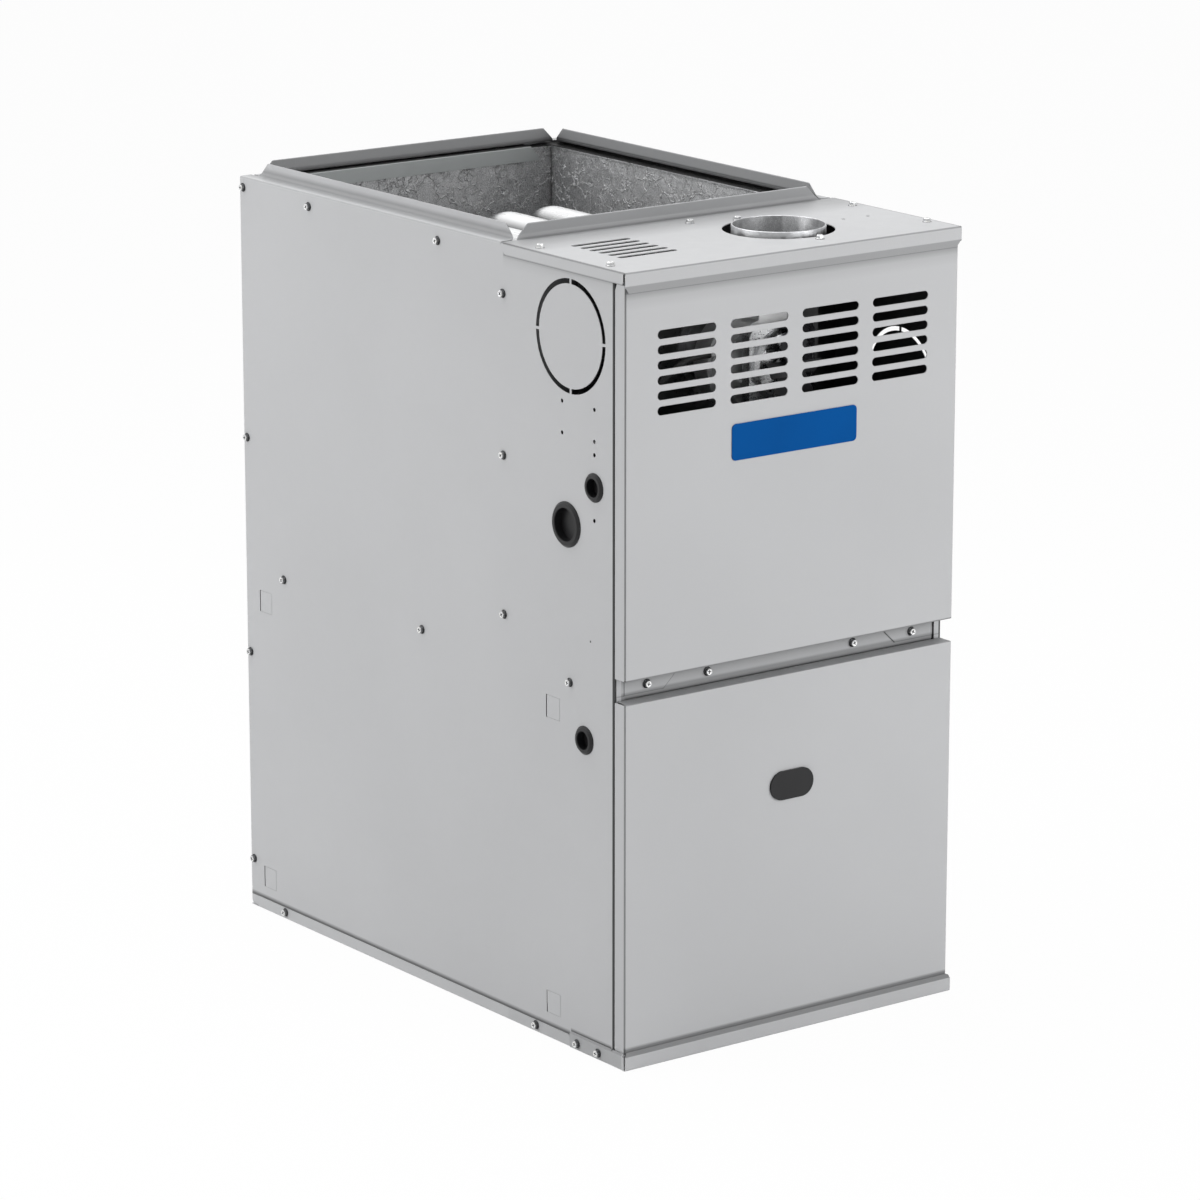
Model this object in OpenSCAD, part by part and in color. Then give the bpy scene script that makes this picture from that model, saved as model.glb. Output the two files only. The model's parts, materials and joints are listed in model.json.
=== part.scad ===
// Forced air gas furnace, upflow, with a non-condensing tubular heat exchanger.
// Front of the cabinet towards -Y, right side towards +X, up is +Z.
// The origin is at the middle of the footprint, on the plane the base stands on.

/* [Cabinet] */
// Width over the painted side panels
cabinet_w = 444.5; // [440:0.5:480]
// Depth from the door faces to the back panel
cabinet_d = 720; // [715:1:760]
// Height of the top sheet
cabinet_h = 856; // [856:1:880]
// Thickness of the casing sheet
sheet_t = 1; // [0.8:0.1:1.1]
// Depth of the folded edge round each door
door_return = 18; // [16:0.1:18.5]

/* [Doors] */
// Height of the lower door's top edge
lower_door_top = 398.8; // [380:0.1:399]
// Height of the upper door's bottom edge
upper_door_bottom = 424.7; // [424:0.1:440]
// Length of one louvre slot
slot_l = 76; // [60:1:80]
// Height of one louvre slot
slot_h = 9.5; // [6:0.5:11]
// Height from one louvre slot to the next
slot_pitch = 16; // [14:0.5:18]

/* [Supply opening] */
// Width between the two side duct flanges
duct_w = 408; // [390:1:410]
// Height of the duct flanges above the top sheet
duct_flange_h = 16; // [12:0.5:25]

/* [Heat exchanger] */
// Outside diameter of a heat exchanger tube
tube_od = 44.5; // [38:0.5:46]
// Distance between neighbouring tubes
tube_pitch = 61; // [56:0.5:64]
// Height of a tube's burner end
tube_low_z = 475; // [470:1:480]
// Rise from one pass of a tube to the next
pass_rise = 105; // [100:0.5:105]

/* [Vent] */
// Outside diameter of the vent collar
collar_od = 101.6; // [95:0.1:103]

/* [Blower] */
// Outside diameter of the blower wheel
wheel_od = 266; // [250:1:270]
// Width of the blower wheel
wheel_w = 192; // [170:1:200]
// Number of blades round the wheel
blade_count = 42; // [30:1:48]

/* [Hidden] */
$fn = 48;

eps = 0.01;
far = 2000;
t = sheet_t;
half_w = cabinet_w / 2;
bend_r = 1.6;
sill_out = 4.4;
door_y = sill_out - (cabinet_d + sill_out) / 2;
function at(d) = door_y + d;            // a point d behind the door faces

// Casing, as distances behind the door faces and heights
face_d = 19;                            // front edge of the cabinet's own sheet
plenum_front_d = 217;
plenum_back_d = 705;
vestibule_d = 205;
top_z = cabinet_h;
duct_x = duct_w / 2;
duct_bend_r = 6;
base_flange_h = 13.5;
side_low = 1.8;                         // lower edge of the side sheets, above the base's bend
base_front_d = 95.7;
sill_arm_d = 94;
sill_arm_h = 18.2;
return_x = 178;
return_d = [75, 640];
deck_z = 411;
deck_d = [21, 718.8];
rail_z = [398, 440];
rail_x = half_w - 13.7;
rail_ends = [-208.1, 209.7];            // the rail sits a little to the right
face_edges = [-208.4, 212.3];           // inner edges of the casing's two front flanges
liner_t = 25;
liner_z = [deck_z + t, top_z - 4];

// Knockout rings, plugs and small holes of the side panels: [behind the doors, height]
left_ring = [94, 774.8, 60.75, 5.5];    // then outer radius and width of the slot
right_ring = [94, 676.1, 55.5, 4.8];
ring_web = 3;
conduit_at = [52.6, 622];
right_conduit_at = [52.6, 606];
gas_at = [101, 573.8];
wire_at = [69.8, 346.7];
pilot_holes = [[109, 704.5], [52.6, 704.5], [109, 670.7], [52.6, 670.7], [52.6, 656.6], [52.6, 586.8]];
return_corner = [[113.7, 668.2], [27.9, 357.1]];
corner_mark = 25;

// Vent and inducer
vent_x = 57.7;
vent_d = 101.8;
vent_hole_r = 60.3;
collar_z = [794, 861.5];
inducer_x = 21;
inducer_z = 722;
inducer_d = [72, 132];

// Burners, gas train
burner_d = [122, 196];
manifold_d = gas_at[0];
riser_x = 62;
valve_x = [22, 112];
valve_d = [70, 132];
valve_z = [545, 603];
gas_port_r = 9.2;
switch_x = valve_x[1] - 30;
switch_z = valve_z[0] + 40;
box_d = [118, 204];
box_z = [434, 516];
box_x = 128;
button_d = 136;
button_x = 112;

// Blower
wheel_d = 420;
wheel_z = 205;
wheel_r = wheel_od / 2;
blower_x = 129;
scroll_r = 152;
scroll_a = 16;
outlet_d = [228, 493];
shaft_r = 6.35;
motor_r = 70;
run_gap = 0.05;

// ---------- helpers ----------

// Flat sheets: the child is drawn in (y, z), (x, z) or (x, y)
module plate_x(x, thick) translate([x, 0, 0]) rotate([90, 0, 90]) linear_extrude(thick) children();
module plate_y(y, thick) translate([0, y + thick, 0]) rotate([90, 0, 0]) linear_extrude(thick) children();
module plate_z(z, thick) translate([0, 0, z]) linear_extrude(thick) children();

// Box and rectangle between two corners
module block(a, b) translate(a) cube(b - a);
module rect(a, b) translate(a) square(b - a);

// Cylinders along the axes, starting at a point
module rod_x(p, r, l) translate(p) rotate([0, 90, 0]) cylinder(r = r, h = l);
module rod_y(p, r, l) translate(p) rotate([-90, 0, 0]) cylinder(r = r, h = l);
module rod_z(p, r, l) translate(p) cylinder(r = r, h = l);

// Shape turned round an axis parallel to Y; the profile is (radius, distance along Y)
module turned_y(p) translate(p) rotate([-90, 0, 0]) rotate_extrude() children();
module turned_x(p) translate(p) rotate([0, 90, 0]) rotate_extrude() children();

module slot(l, h) {
    square([l - h, h], center = true);
    for (s = [-1, 1]) translate([s * (l - h) / 2, 0]) circle(h / 2);
}

module rounded(l, h, r) {
    square([l - 2 * r, h], center = true);
    square([l, h - 2 * r], center = true);
    for (sx = [-1, 1], sz = [-1, 1]) translate([sx * (l / 2 - r), sz * (h / 2 - r)]) circle(r);
}

module both_sides() {
    children();
    mirror([1, 0, 0]) children();
}

// Section of a folded sheet: straight legs along the middle of its thickness, with round bends
function unit(v) = v / norm(v);
function left_of(v) = [-v[1], v[0]];
function turn(u, v) = atan2(u[0] * v[1] - u[1] * v[0], u * v);
module folded(path, radii, thick = sheet_t) {
    n = len(path);
    dirs = [for (i = [0:n - 2]) unit(path[i + 1] - path[i])];
    turns = [for (i = [0:n - 1]) i == 0 || i == n - 1 ? 0 : turn(dirs[i - 1], dirs[i])];
    trims = [for (i = [0:n - 1]) i == 0 || i == n - 1 ? 0 : radii[i - 1] * tan(abs(turns[i]) / 2)];
    for (i = [0:n - 2]) {
        start = path[i] + dirs[i] * trims[i];
        l = norm(path[i + 1] - path[i]) - trims[i] - trims[i + 1];
        translate(start) rotate(atan2(dirs[i][1], dirs[i][0])) translate([0, -thick / 2]) square([l, thick]);
    }
    for (i = [1:n - 2]) {
        s = sign(turns[i]);
        r = radii[i - 1];
        centre = path[i] - dirs[i - 1] * trims[i] + left_of(dirs[i - 1]) * s * r;
        from = -left_of(dirs[i - 1]) * s;
        to = -left_of(dirs[i]) * s;
        reach = 2 * (r + thick);
        translate(centre) intersection() {
            difference() {
                circle(r + thick / 2);
                circle(r - thick / 2);
            }
            polygon([[0, 0], from * reach, (from + to) * reach, to * reach]);
        }
    }
}

// Hose or cable: a ring of points at each point of its route, which mostly runs in one plane
module cable(route, r, sides = 8) {
    n = len(route);
    ahead = [for (i = [0:n - 1]) unit(route[min(i + 1, n - 1)] - route[max(i - 1, 0)])];
    across = [for (a = ahead) unit(cross(a, abs(a[2]) < 0.8 ? [0, 0, 1] : [0, 1, 0]))];
    rings = [for (i = [0:n - 1], k = [0:sides - 1])
        route[i] + r * (across[i] * cos(360 * k / sides) + cross(ahead[i], across[i]) * sin(360 * k / sides))];
    walls = [for (i = [0:n - 2], k = [0:sides - 1])
        let (m = (k + 1) % sides, a = i * sides, b = a + sides)
        each [[a + k, b + m, a + m], [a + k, b + k, b + m]]];
    caps = [[for (k = [0:sides - 1]) k], [for (k = [sides - 1:-1:0]) (n - 1) * sides + k]];
    polyhedron(points = rings, faces = concat(walls, caps), convexity = 6);
}

// Smooth curve through a few chosen points
function curve_point(p, i, s) = let (a = p[max(i - 1, 0)], b = p[i], c = p[i + 1], d = p[min(i + 2, len(p) - 1)])
    0.5 * (2 * b + (c - a) * s + (2 * a - 5 * b + 4 * c - d) * s * s + (3 * b - a - 3 * c + d) * s * s * s);
function curve(p, steps) = concat(
    [for (i = [0:len(p) - 2], k = [0:steps - 1]) curve_point(p, i, k / steps)], [p[len(p) - 1]]);

// ---------- casing ----------

// Upright duct flange with mitred ends, drawn as a cutter for a long folded edge of length l
module mitre(l, base, h) polygon([[-l / 2, base - far], [l / 2, base - far], [l / 2, base],
    [l / 2 - h, base + h], [-l / 2 + h, base + h], [-l / 2, base]]);

module return_marks() {
    for (d = return_corner[0], z = return_corner[1]) {
        translate([-half_w - eps, at(d + corner_mark - 1.6), z]) cube([t + 1, 1.6, corner_mark]);
        for (dz = [0, corner_mark - 0.6]) translate([-half_w - eps, at(d), z + dz]) cube([0.3, corner_mark, 0.6]);
        translate([-half_w - eps, at(d), z]) cube([0.3, 0.6, corner_mark]);
    }
}

module ring_knockout(ring) {
    plate_x(-half_w - 1, t + 2) translate([at(ring[0]), ring[1]]) difference() {
        circle(ring[2]);
        circle(ring[2] - ring[3]);
        square([ring_web, 3 * ring[2]], center = true);
        square([3 * ring[2], ring_web], center = true);
    }
}

module side_hole(p, r) rod_x([-half_w - 1, at(p[0]), p[1]], r, t + 2);

// Left side sheet; the right one is its mirror image with other holes and another front flange
module side_sheet(flange_in, ring, conduit, pilots) {
    plenum_l = cabinet_d - plenum_front_d;
    duct_l = plenum_back_d - plenum_front_d;
    difference() {
        union() {
            // front part, folded in under the top sheet, and the face flange
            translate([0, at(plenum_front_d), 0]) rotate([90, 0, 0]) linear_extrude(plenum_front_d - face_d - 5)
                folded([[-half_w + t / 2, side_low], [-half_w + t / 2, top_z - 3 * t / 2],
                    [-half_w + 18, top_z - 3 * t / 2]], [bend_r]);
            translate([0, 0, side_low]) linear_extrude(top_z - 2 * t - 1 - side_low)
                folded([[flange_in, at(face_d) + t / 2], [-half_w + t / 2, at(face_d) + t / 2],
                    [-half_w + t / 2, at(face_d + 6)]], [bend_r]);
            block([-half_w, at(plenum_front_d) - 1, side_low], [-half_w + t, at(plenum_front_d) + 1, top_z - 4]);
            // rear part, folded in and then up as a duct flange
            intersection() {
                translate([0, at(cabinet_d), 0]) rotate([90, 0, 0]) linear_extrude(plenum_l - 0.3)
                    folded([[-half_w + t / 2, side_low], [-half_w + t / 2, top_z - t / 2],
                        [-duct_x - t / 2, top_z - t / 2], [-duct_x - t / 2, top_z + duct_flange_h]],
                        [bend_r, duct_bend_r]);
                plate_x(-half_w - 1, 30) union() {
                    rect([at(plenum_front_d), 0], [at(cabinet_d), top_z]);
                    translate([at(plenum_front_d + duct_l / 2), 0]) mitre(duct_l, top_z, duct_flange_h);
                }
            }
        }
        ring_knockout(ring);
        return_marks();
        for (p = pilots) side_hole(p, 2.2);
        side_hole(conduit, plug_neck_r);
        side_hole(gas_at, gas_neck_r);
        side_hole(wire_at, plug_neck_r);
        // rounded lower back corner
        plate_x(-half_w - 1, t + 2) difference() {
            rect([at(cabinet_d) - 5, 0], [at(cabinet_d) + 5, side_low + 5]);
            translate([at(cabinet_d) - 5, side_low + 5]) circle(5);
        }
    }
}
plug_neck_r = 11.2;
gas_neck_r = 19.2;
module left_side_panel() color("gainsboro") difference() {
    side_sheet(face_edges[0], left_ring, conduit_at, pilot_holes);
    // relief beside the rail
    block([-half_w + 2.3, at(face_d) - 1, rail_z[0] - 2], [-half_w + 3.6, at(face_d) + t + 1, rail_z[1] - 10]);
}
module right_side_panel() color("gainsboro") mirror([1, 0, 0])
    side_sheet(-face_edges[1], right_ring, right_conduit_at, [pilot_holes[5]]);

module back_panel() color("gainsboro") {
    inner_x = half_w - t;
    // upright sheet, folded forward and then up as the rear duct flange
    intersection() {
        translate([-inner_x, 0, 0]) rotate([90, 0, 90]) linear_extrude(2 * inner_x)
            folded([[at(cabinet_d) - t / 2, t], [at(cabinet_d) - t / 2, top_z - t / 2],
                [at(plenum_back_d) + t / 2, top_z - t / 2],
                [at(plenum_back_d) + t / 2, top_z + duct_flange_h]], [bend_r, duct_bend_r]);
        plate_y(at(plenum_back_d) - 1, 20) union() {
            rect([-inner_x, 0], [inner_x, top_z - 2.4]);
            mitre(duct_w - 0.6, top_z, duct_flange_h);
        }
    }
    both_sides() block([inner_x - t, at(cabinet_d) - 17.4, t], [inner_x, at(cabinet_d) - t, top_z - 20]);
}

// Top cover over the burner compartment: front lip, sheet and front duct flange in one fold
top_out = 1.5;
top_lip_out = 2.6;
cover_d = 1.2;                          // front end of the flanges over the side panels
module top_panel() color("whitesmoke") {
    edge_x = half_w + top_out;
    difference() {
        intersection() {
            translate([-edge_x, 0, 0]) rotate([90, 0, 90]) linear_extrude(2 * edge_x)
                union() {
                    folded([[at(-top_lip_out + t / 2), 841], [at(-top_lip_out + t / 2), top_z - t / 2],
                        [at(plenum_front_d) - t / 2, top_z - t / 2],
                        [at(plenum_front_d) - t / 2, top_z + duct_flange_h]], [bend_r, duct_bend_r]);
                    polygon([[at(-1.2), 834], [at(-0.3), 834], [at(-top_lip_out + t), 842], [at(-top_lip_out), 842]]);
                }
            plate_y(at(-5), plenum_front_d + 10) union() {
                rect([-edge_x, 840], [edge_x, top_z]);
                mitre(duct_w - 0.6, top_z, duct_flange_h);
                polygon([[-edge_x, 842], [edge_x, 842], [edge_x - 6, 833], [-edge_x + 6, 833]]);
            }
        }
        rod_z([vent_x, at(vent_d), top_z - 20], vent_hole_r, 40);
        for (i = [0:5]) translate([-140.6, at(151) - i * 16.1, top_z - 5]) linear_extrude(10) slot(76, 8.5);
        for (p = [[149.2, 105.1], [181.8, 103.4]]) rod_z([p[0], at(p[1]), top_z - 5], 2, 10);
        both_sides() block([half_w, at(plenum_front_d) - 4.5, 800], [far, at(plenum_front_d) + 1, 900]);
        both_sides() block([duct_x, at(plenum_front_d) - 8, top_z], [far, at(plenum_front_d) + 1, 900]);
    }
    // side flanges over the cabinet's side panels
    both_sides() difference() {
        translate([0, at(212), 0]) rotate([90, 0, 0]) linear_extrude(212 - cover_d)
            folded([[half_w - 6, top_z - t / 2], [edge_x - t / 2, top_z - t / 2],
                [edge_x - t / 2, top_z - 13]], [bend_r]);
        plate_x(half_w, 5) difference() {
            rect([at(204), top_z - 14], [at(213), top_z - 5]);
            translate([at(204), top_z - 5]) circle(8);
        }
        plate_x(half_w, 5) polygon([[at(0), top_z - 14], [at(cover_d + 3), top_z - 14], [at(0), top_z - 8]]);
    }
}

// Strip across the back of the supply opening, with mitred ends
strip_d = [700.5, 718];
module rear_plenum_strip() color("silver") {
    intersection() {
        translate([-180, 0, 0]) rotate([90, 0, 90]) linear_extrude(360)
            folded([[at(strip_d[0]) + t / 2, 836], [at(strip_d[0]) + t / 2, liner_z[1] + 1.5],
                [at(strip_d[1]), liner_z[1] + 1.5]], [bend_r]);
        plate_y(at(strip_d[0]) - 1, 30)
            polygon([[-179, 835], [179, 835], [179, 838], [164, top_z], [-164, top_z], [-179, 838]]);
    }
}

// Base with flanges outside the side panels and the return air opening
module base_pan() color("gainsboro") {
    flange_x = half_w + t;
    difference() {
        union() {
            difference() {
                translate([0, at(cabinet_d), 0]) rotate([90, 0, 0]) linear_extrude(cabinet_d - base_front_d)
                    folded([[-flange_x + t / 2, base_flange_h], [-flange_x + t / 2, t / 2],
                        [flange_x - t / 2, t / 2], [flange_x - t / 2, base_flange_h]], [bend_r - 0.5, bend_r - 0.5]);
                both_sides() block([half_w - 0.5, at(plenum_back_d), t], [far, at(cabinet_d) + 1, 20]);
                both_sides() plate_x(half_w - 0.5, 5) difference() {
                    rect([at(base_front_d) - 1, base_flange_h - 4], [at(base_front_d + 4), base_flange_h + 1]);
                    translate([at(base_front_d + 4), base_flange_h - 4]) circle(4);
                }
            }
            block([-half_w + 23, at(31), 0], [half_w - 23, at(base_front_d) + 1, t]);
        }
        block([-return_x, at(return_d[0]), -1], [return_x, at(return_d[1]), 5]);
    }
    // upturned edge of the opening
    difference() {
        block([-return_x - t, at(return_d[0]) - t, 0], [return_x + t, at(return_d[1]) + t, 12]);
        block([-return_x, at(return_d[0]), -1], [return_x, at(return_d[1]), 15]);
    }
}

sill_x = half_w + 2.5;
module front_sill() color("gainsboro") {
    // front rail with a lip leaning back to the lower door
    difference() {
        translate([-sill_x + 0.8, 0, 0]) rotate([90, 0, 90]) linear_extrude(2 * sill_x - 1.6)
            folded([[at(30), t / 2], [at(-sill_out + t / 2), t / 2],
                [at(-sill_out + t / 2), 15.2], [at(-0.9), 19.4]], [bend_r, bend_r]);
        both_sides() block([half_w - 22, at(2), -1], [far, at(40), 5]);
        both_sides() translate([sill_x - 0.8, at(-10), 15.5]) rotate([0, -45, 0]) cube([10, 20, 10]);
    }
    both_sides() translate([0, at(sill_arm_d), 0]) rotate([90, 0, 0]) linear_extrude(sill_arm_d + sill_out - 2.4)
        folded([[half_w - 21.5, t / 2], [sill_x - t / 2, t / 2], [sill_x - t / 2, 16.2], [sill_x - 2, 17.9]],
            [bend_r, 1]);
}

module blower_deck() color("silver") {
    deck_x = half_w - t;
    difference() {
        union() {
            block([-rail_x, at(deck_d[0]), deck_z], [rail_x, at(deck_d[1]), deck_z + t]);
            both_sides() block([rail_x - 1, at(deck_d[0] + 3), deck_z], [deck_x, at(cabinet_d - 21), deck_z + t]);
            both_sides() block([deck_x - t, at(deck_d[0] + 3), deck_z - 15], [deck_x, at(cabinet_d - 21), deck_z + t]);
            // upturned front edge against the rail
            block([-rail_x, at(deck_d[0]), deck_z], [rail_x, at(deck_d[0]) + t, rail_z[1] - 2]);
        }
        block([-blower_x + t, at(outlet_d[0] + t), deck_z - 5], [blower_x - t, at(outlet_d[1] - t), deck_z + 5]);
        // wire pass from the blower compartment
        rod_z([-150, at(90), deck_z - 5], 12, 10);
    }
}

module door_rail() color("gainsboro") {
    translate([rail_ends[0], 0, 0]) rotate([90, 0, 90]) linear_extrude(rail_ends[1] - rail_ends[0])
        folded([[at(face_d) + 3 * t / 2, rail_z[1]], [at(face_d) + 3 * t / 2, rail_z[0] + t / 2],
            [at(44), rail_z[0] + t / 2]], [2.5]);
    // upright ribs that carry the rail under the deck
    for (x = [-190, -60, 60, 190]) block([x - 12, at(40), rail_z[0] + t], [x + 12, at(40) + t, deck_z]);
}

// Corner brackets in front of the rail; each ends in a slanted edge
module bracket(end) plate_y(at(face_d), t)
    polygon([[156.5, 404.2], [end, 404.2], [end, 438], [130.5, 438], [143.5, 416.4]]);
module rail_brackets() color("gainsboro") {
    bracket(rail_ends[1]);
    mirror([1, 0, 0]) bracket(-rail_ends[0]);
}

module vestibule_panel() color("silver") difference() {
    panel_x = half_w - t;
    union() {
        block([-panel_x, at(vestibule_d), deck_z + t], [panel_x, at(vestibule_d) + t, top_z - 5]);
        both_sides() block([panel_x - t, at(vestibule_d), deck_z + t], [panel_x, at(222), top_z - 5]);
        block([-panel_x, at(vestibule_d), top_z - 5 - t], [panel_x, at(215), top_z - 5]);
    }
    for (i = [0:3], z = [tube_low_z, tube_low_z + 3 * pass_rise])
        rod_y([tube_x(i), at(vestibule_d) - 1, z], tube_od / 2 + 0.1, t + 2);
}

module foil_liners() color("dimgray") {
    back_d = 702;
    both_sides() block([half_w - liner_t, at(222.5), liner_z[0]], [half_w - t, at(back_d) - 0.2, liner_z[1]]);
    block([-half_w + 2.5 * t, at(back_d), liner_z[0]], [half_w - 2.5 * t, at(cabinet_d) - t, liner_z[1]]);
}

// ---------- doors ----------

door_x = half_w - 0.8;
hem = 12;

// Folded pan of a door between two heights, with reliefs where its returns pass the hinge lip
module door_pan(low, high) {
    translate([0, 0, low]) linear_extrude(high - low)
        folded([[-door_x + t / 2, at(door_return)], [-door_x + t / 2, at(t / 2)], [door_x - t / 2, at(t / 2)],
            [door_x - t / 2, at(door_return)]], [bend_r - 0.5, bend_r - 0.5]);
}

module louvres() {
    for (c = [-1.5:1.5], r = [0:5]) translate([c * 95, at(-1), 786.4 - r * slot_pitch])
        rotate([-90, 0, 0]) linear_extrude(5) slot(slot_l, slot_h);
}

upper_door_top = 850;
lip_z = 833.7;
module upper_door() color("gainsboro") {
    difference() {
        door_pan(upper_door_bottom, upper_door_top);
        louvres();
        plate_x(-half_w, cabinet_w)
            polygon([[at(door_return) + 1, lip_z - 1], [at(11), upper_door_top + 2], [at(door_return) + 1, upper_door_top + 2]]);
    }
    // bottom shelf with its hem
    translate([-door_x + 3, 0, 0]) rotate([90, 0, 90]) linear_extrude(2 * door_x - 6)
        folded([[at(t / 2), upper_door_bottom + t / 2], [at(door_return) - t / 2, upper_door_bottom + t / 2],
            [at(door_return) - t / 2, upper_door_bottom + hem]], [bend_r]);
}

badge_at = [0, 660.5];
module badge_plate() color("steelblue") plate_y(at(-1), 1) translate(badge_at) rounded(167, 39, 5);

lower_door_low = 4;
shelf_rise = 1.3;                       // its top slopes up towards the back
sight_z = 277;
module lower_door() color("gainsboro") {
    difference() {
        door_pan(lower_door_low, lower_door_top);
        plate_x(-half_w, cabinet_w)
            polygon([[at(door_return) + 1, 21], [at(11), lower_door_low - 2], [at(door_return) + 1, lower_door_low - 2]]);
        translate([0, at(-1), sight_z]) rotate([-90, 0, 0]) linear_extrude(5) slot(50, 24);
    }
    // top shelf with its hem
    high = lower_door_top + shelf_rise;
    translate([-door_x + 3, 0, 0]) rotate([90, 0, 90]) linear_extrude(2 * door_x - 6) {
        polygon([[at(0.2), lower_door_top - t], [at(0.2), lower_door_top], [at(12), high], [at(13), high],
            [at(13), high - t], [at(12), high - t]]);
        folded([[at(12), high - t / 2], [at(door_return) - t / 2, high - t / 2],
            [at(door_return) - t / 2, lower_door_top - hem]], [bend_r]);
    }
}

module sight_plug() color("black") {
    translate([0, at(-2.2), sight_z]) rotate([-90, 0, 0]) linear_extrude(2.2) slot(58, 32);
    translate([0, at(-1), sight_z]) rotate([-90, 0, 0]) linear_extrude(7) difference() {
        slot(49.8, 23.8);
        slot(45, 19);
    }
    translate([0, at(1.2), sight_z]) rotate([-90, 0, 0]) linear_extrude(2) difference() {
        slot(52.5, 26.5);
        slot(47, 21);
    }
}

// ---------- plugs and screws ----------

// Snap-in plug on the left side panel: a raised bevelled ring with a deep dish
module plug(p, r, neck, dish) {
    translate([-half_w, at(p[0]), p[1]]) rotate([0, -90, 0]) rotate_extrude()
        polygon([[0, -7], [neck - 0.05, -7], [neck - 0.05, 0], [r, 0], [r, 0.8], [r - 2.6, 3.2], [dish, 3.4],
            [dish - 0.6, 2.8], [dish - 1.6, -5.5], [0, -5.5]]);
}
module hole_plugs() color("black") {
    plug(conduit_at, 15.5, plug_neck_r, 10.4);
    plug(gas_at, 24.5, gas_neck_r, 18.4);
    plug(wire_at, 15.5, plug_neck_r, 10.4);
    mirror([1, 0, 0]) plug(wire_at, 15.5, plug_neck_r, 10.4);
}

gas_entry_r = 14;
module gas_grommet() color("black") mirror([1, 0, 0])
    translate([-half_w, at(gas_at[0]), gas_at[1]]) rotate([0, -90, 0]) rotate_extrude()
        polygon([[gas_entry_r, -6], [gas_neck_r + 2.5, -6], [gas_neck_r + 2.5, -t], [gas_neck_r - 0.05, -t],
            [gas_neck_r - 0.05, 0], [24.5, 0], [24.5, 0.8], [21.9, 3.2], [16, 3.2], [gas_entry_r, 1.2]]);

// Hex head screw with its washer, head towards +Z
module screw() {
    cylinder(r = 5, h = 1);
    translate([0, 0, 1 - eps]) cylinder(r = 4, h = 3.2, $fn = 6);
}
side_screws = [
    [714, 843.8], [714, 556.6], [714, 305], [714, 56.7], [581.4, 840.9], [333, 839.8],
    [214, 801.3], [214, 627.3], [214, 453.4], [642.5, 404], [368.5, 404], [95.9, 404]
];
base_screws = [[648.1, 8], [156.8, 8]];
arm_screws = [[80.4, 8], [42.9, 8]];
top_screws = [[2, 184], [54, 168], [56, 30]];
edge_screws = [[210, 164], [211, 40]];
rail_screws = [98.6, 179.5];
module side_screw(p, x) translate([-x, at(p[0]), p[1]]) rotate([0, -90, 0]) screw();
module cabinet_screws() color("silver") {
    both_sides() {
        for (p = side_screws) side_screw(p, half_w);
        for (p = base_screws) side_screw(p, half_w + t);
        for (p = arm_screws) side_screw(p, sill_x);
        for (p = edge_screws) translate([p[0], at(p[1]), top_z]) screw();
        for (i = [0, 1]) translate([rail_screws[i], at(face_d + t * (1 - i)), 412.8]) rotate([90, 0, 0]) screw();
    }
    for (p = top_screws) translate([p[0], at(p[1]), top_z]) screw();
}

// ---------- heat exchanger ----------

function tube_x(i) = (i - 1.5) * tube_pitch;
tube_wall = 1.2;
front_bend_d = 296;
rear_bend_d = 547;
tube_end_d = 203;

module tube_run(x, z, d0, d1, r) rod_y([x, at(d0), z], r, d1 - d0);
module tube_bend(x, z, d, dir, r) translate([x, at(d), z]) rotate([0, 90, 0]) rotate([0, 0, dir > 0 ? 0 : 180])
    rotate_extrude(angle = 180) translate([pass_rise / 2, 0]) circle(r);

// Four passes joined by return bends: two at the back and one at the front
module tube_path(x, r, over) {
    z = [for (i = [0:3]) tube_low_z + i * pass_rise];
    tube_run(x, z[0], tube_end_d - over, rear_bend_d, r);
    tube_bend(x, z[0] + pass_rise / 2, rear_bend_d, 1, r);
    tube_run(x, z[1], front_bend_d, rear_bend_d, r);
    tube_bend(x, z[1] + pass_rise / 2, front_bend_d, -1, r);
    tube_run(x, z[2], front_bend_d, rear_bend_d, r);
    tube_bend(x, z[2] + pass_rise / 2, rear_bend_d, 1, r);
    tube_run(x, z[3], tube_end_d - over, rear_bend_d, r);
}
module heat_tube(i) color("silver") difference() {
    tube_path(tube_x(i), tube_od / 2, 0);
    tube_path(tube_x(i), tube_od / 2 - tube_wall, 1);
}
module heat_tube_1() heat_tube(0);
module heat_tube_2() heat_tube(1);
module heat_tube_3() heat_tube(2);
module heat_tube_4() heat_tube(3);

collector_d = 170;
collector_x = 121.2;
collector_z = [668, 824];
inducer_neck_r = 38;
module flue_collector() color("silver") difference() {
    union() {
        block([-collector_x, at(collector_d), collector_z[0]], [collector_x, at(vestibule_d), collector_z[1]]);
        block([-collector_x - 10, at(vestibule_d - 1.2), collector_z[0] - 10],
            [collector_x + 10, at(vestibule_d), collector_z[1] + 10]);
    }
    block([-collector_x + 1.2, at(collector_d + 1.2), collector_z[0] + 1.2],
        [collector_x - 1.2, at(vestibule_d) + 1, collector_z[1] - 1.2]);
    rod_y([inducer_x, at(collector_d) - 1, inducer_z], inducer_neck_r - 2, 4);
}

// ---------- fans ----------

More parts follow.
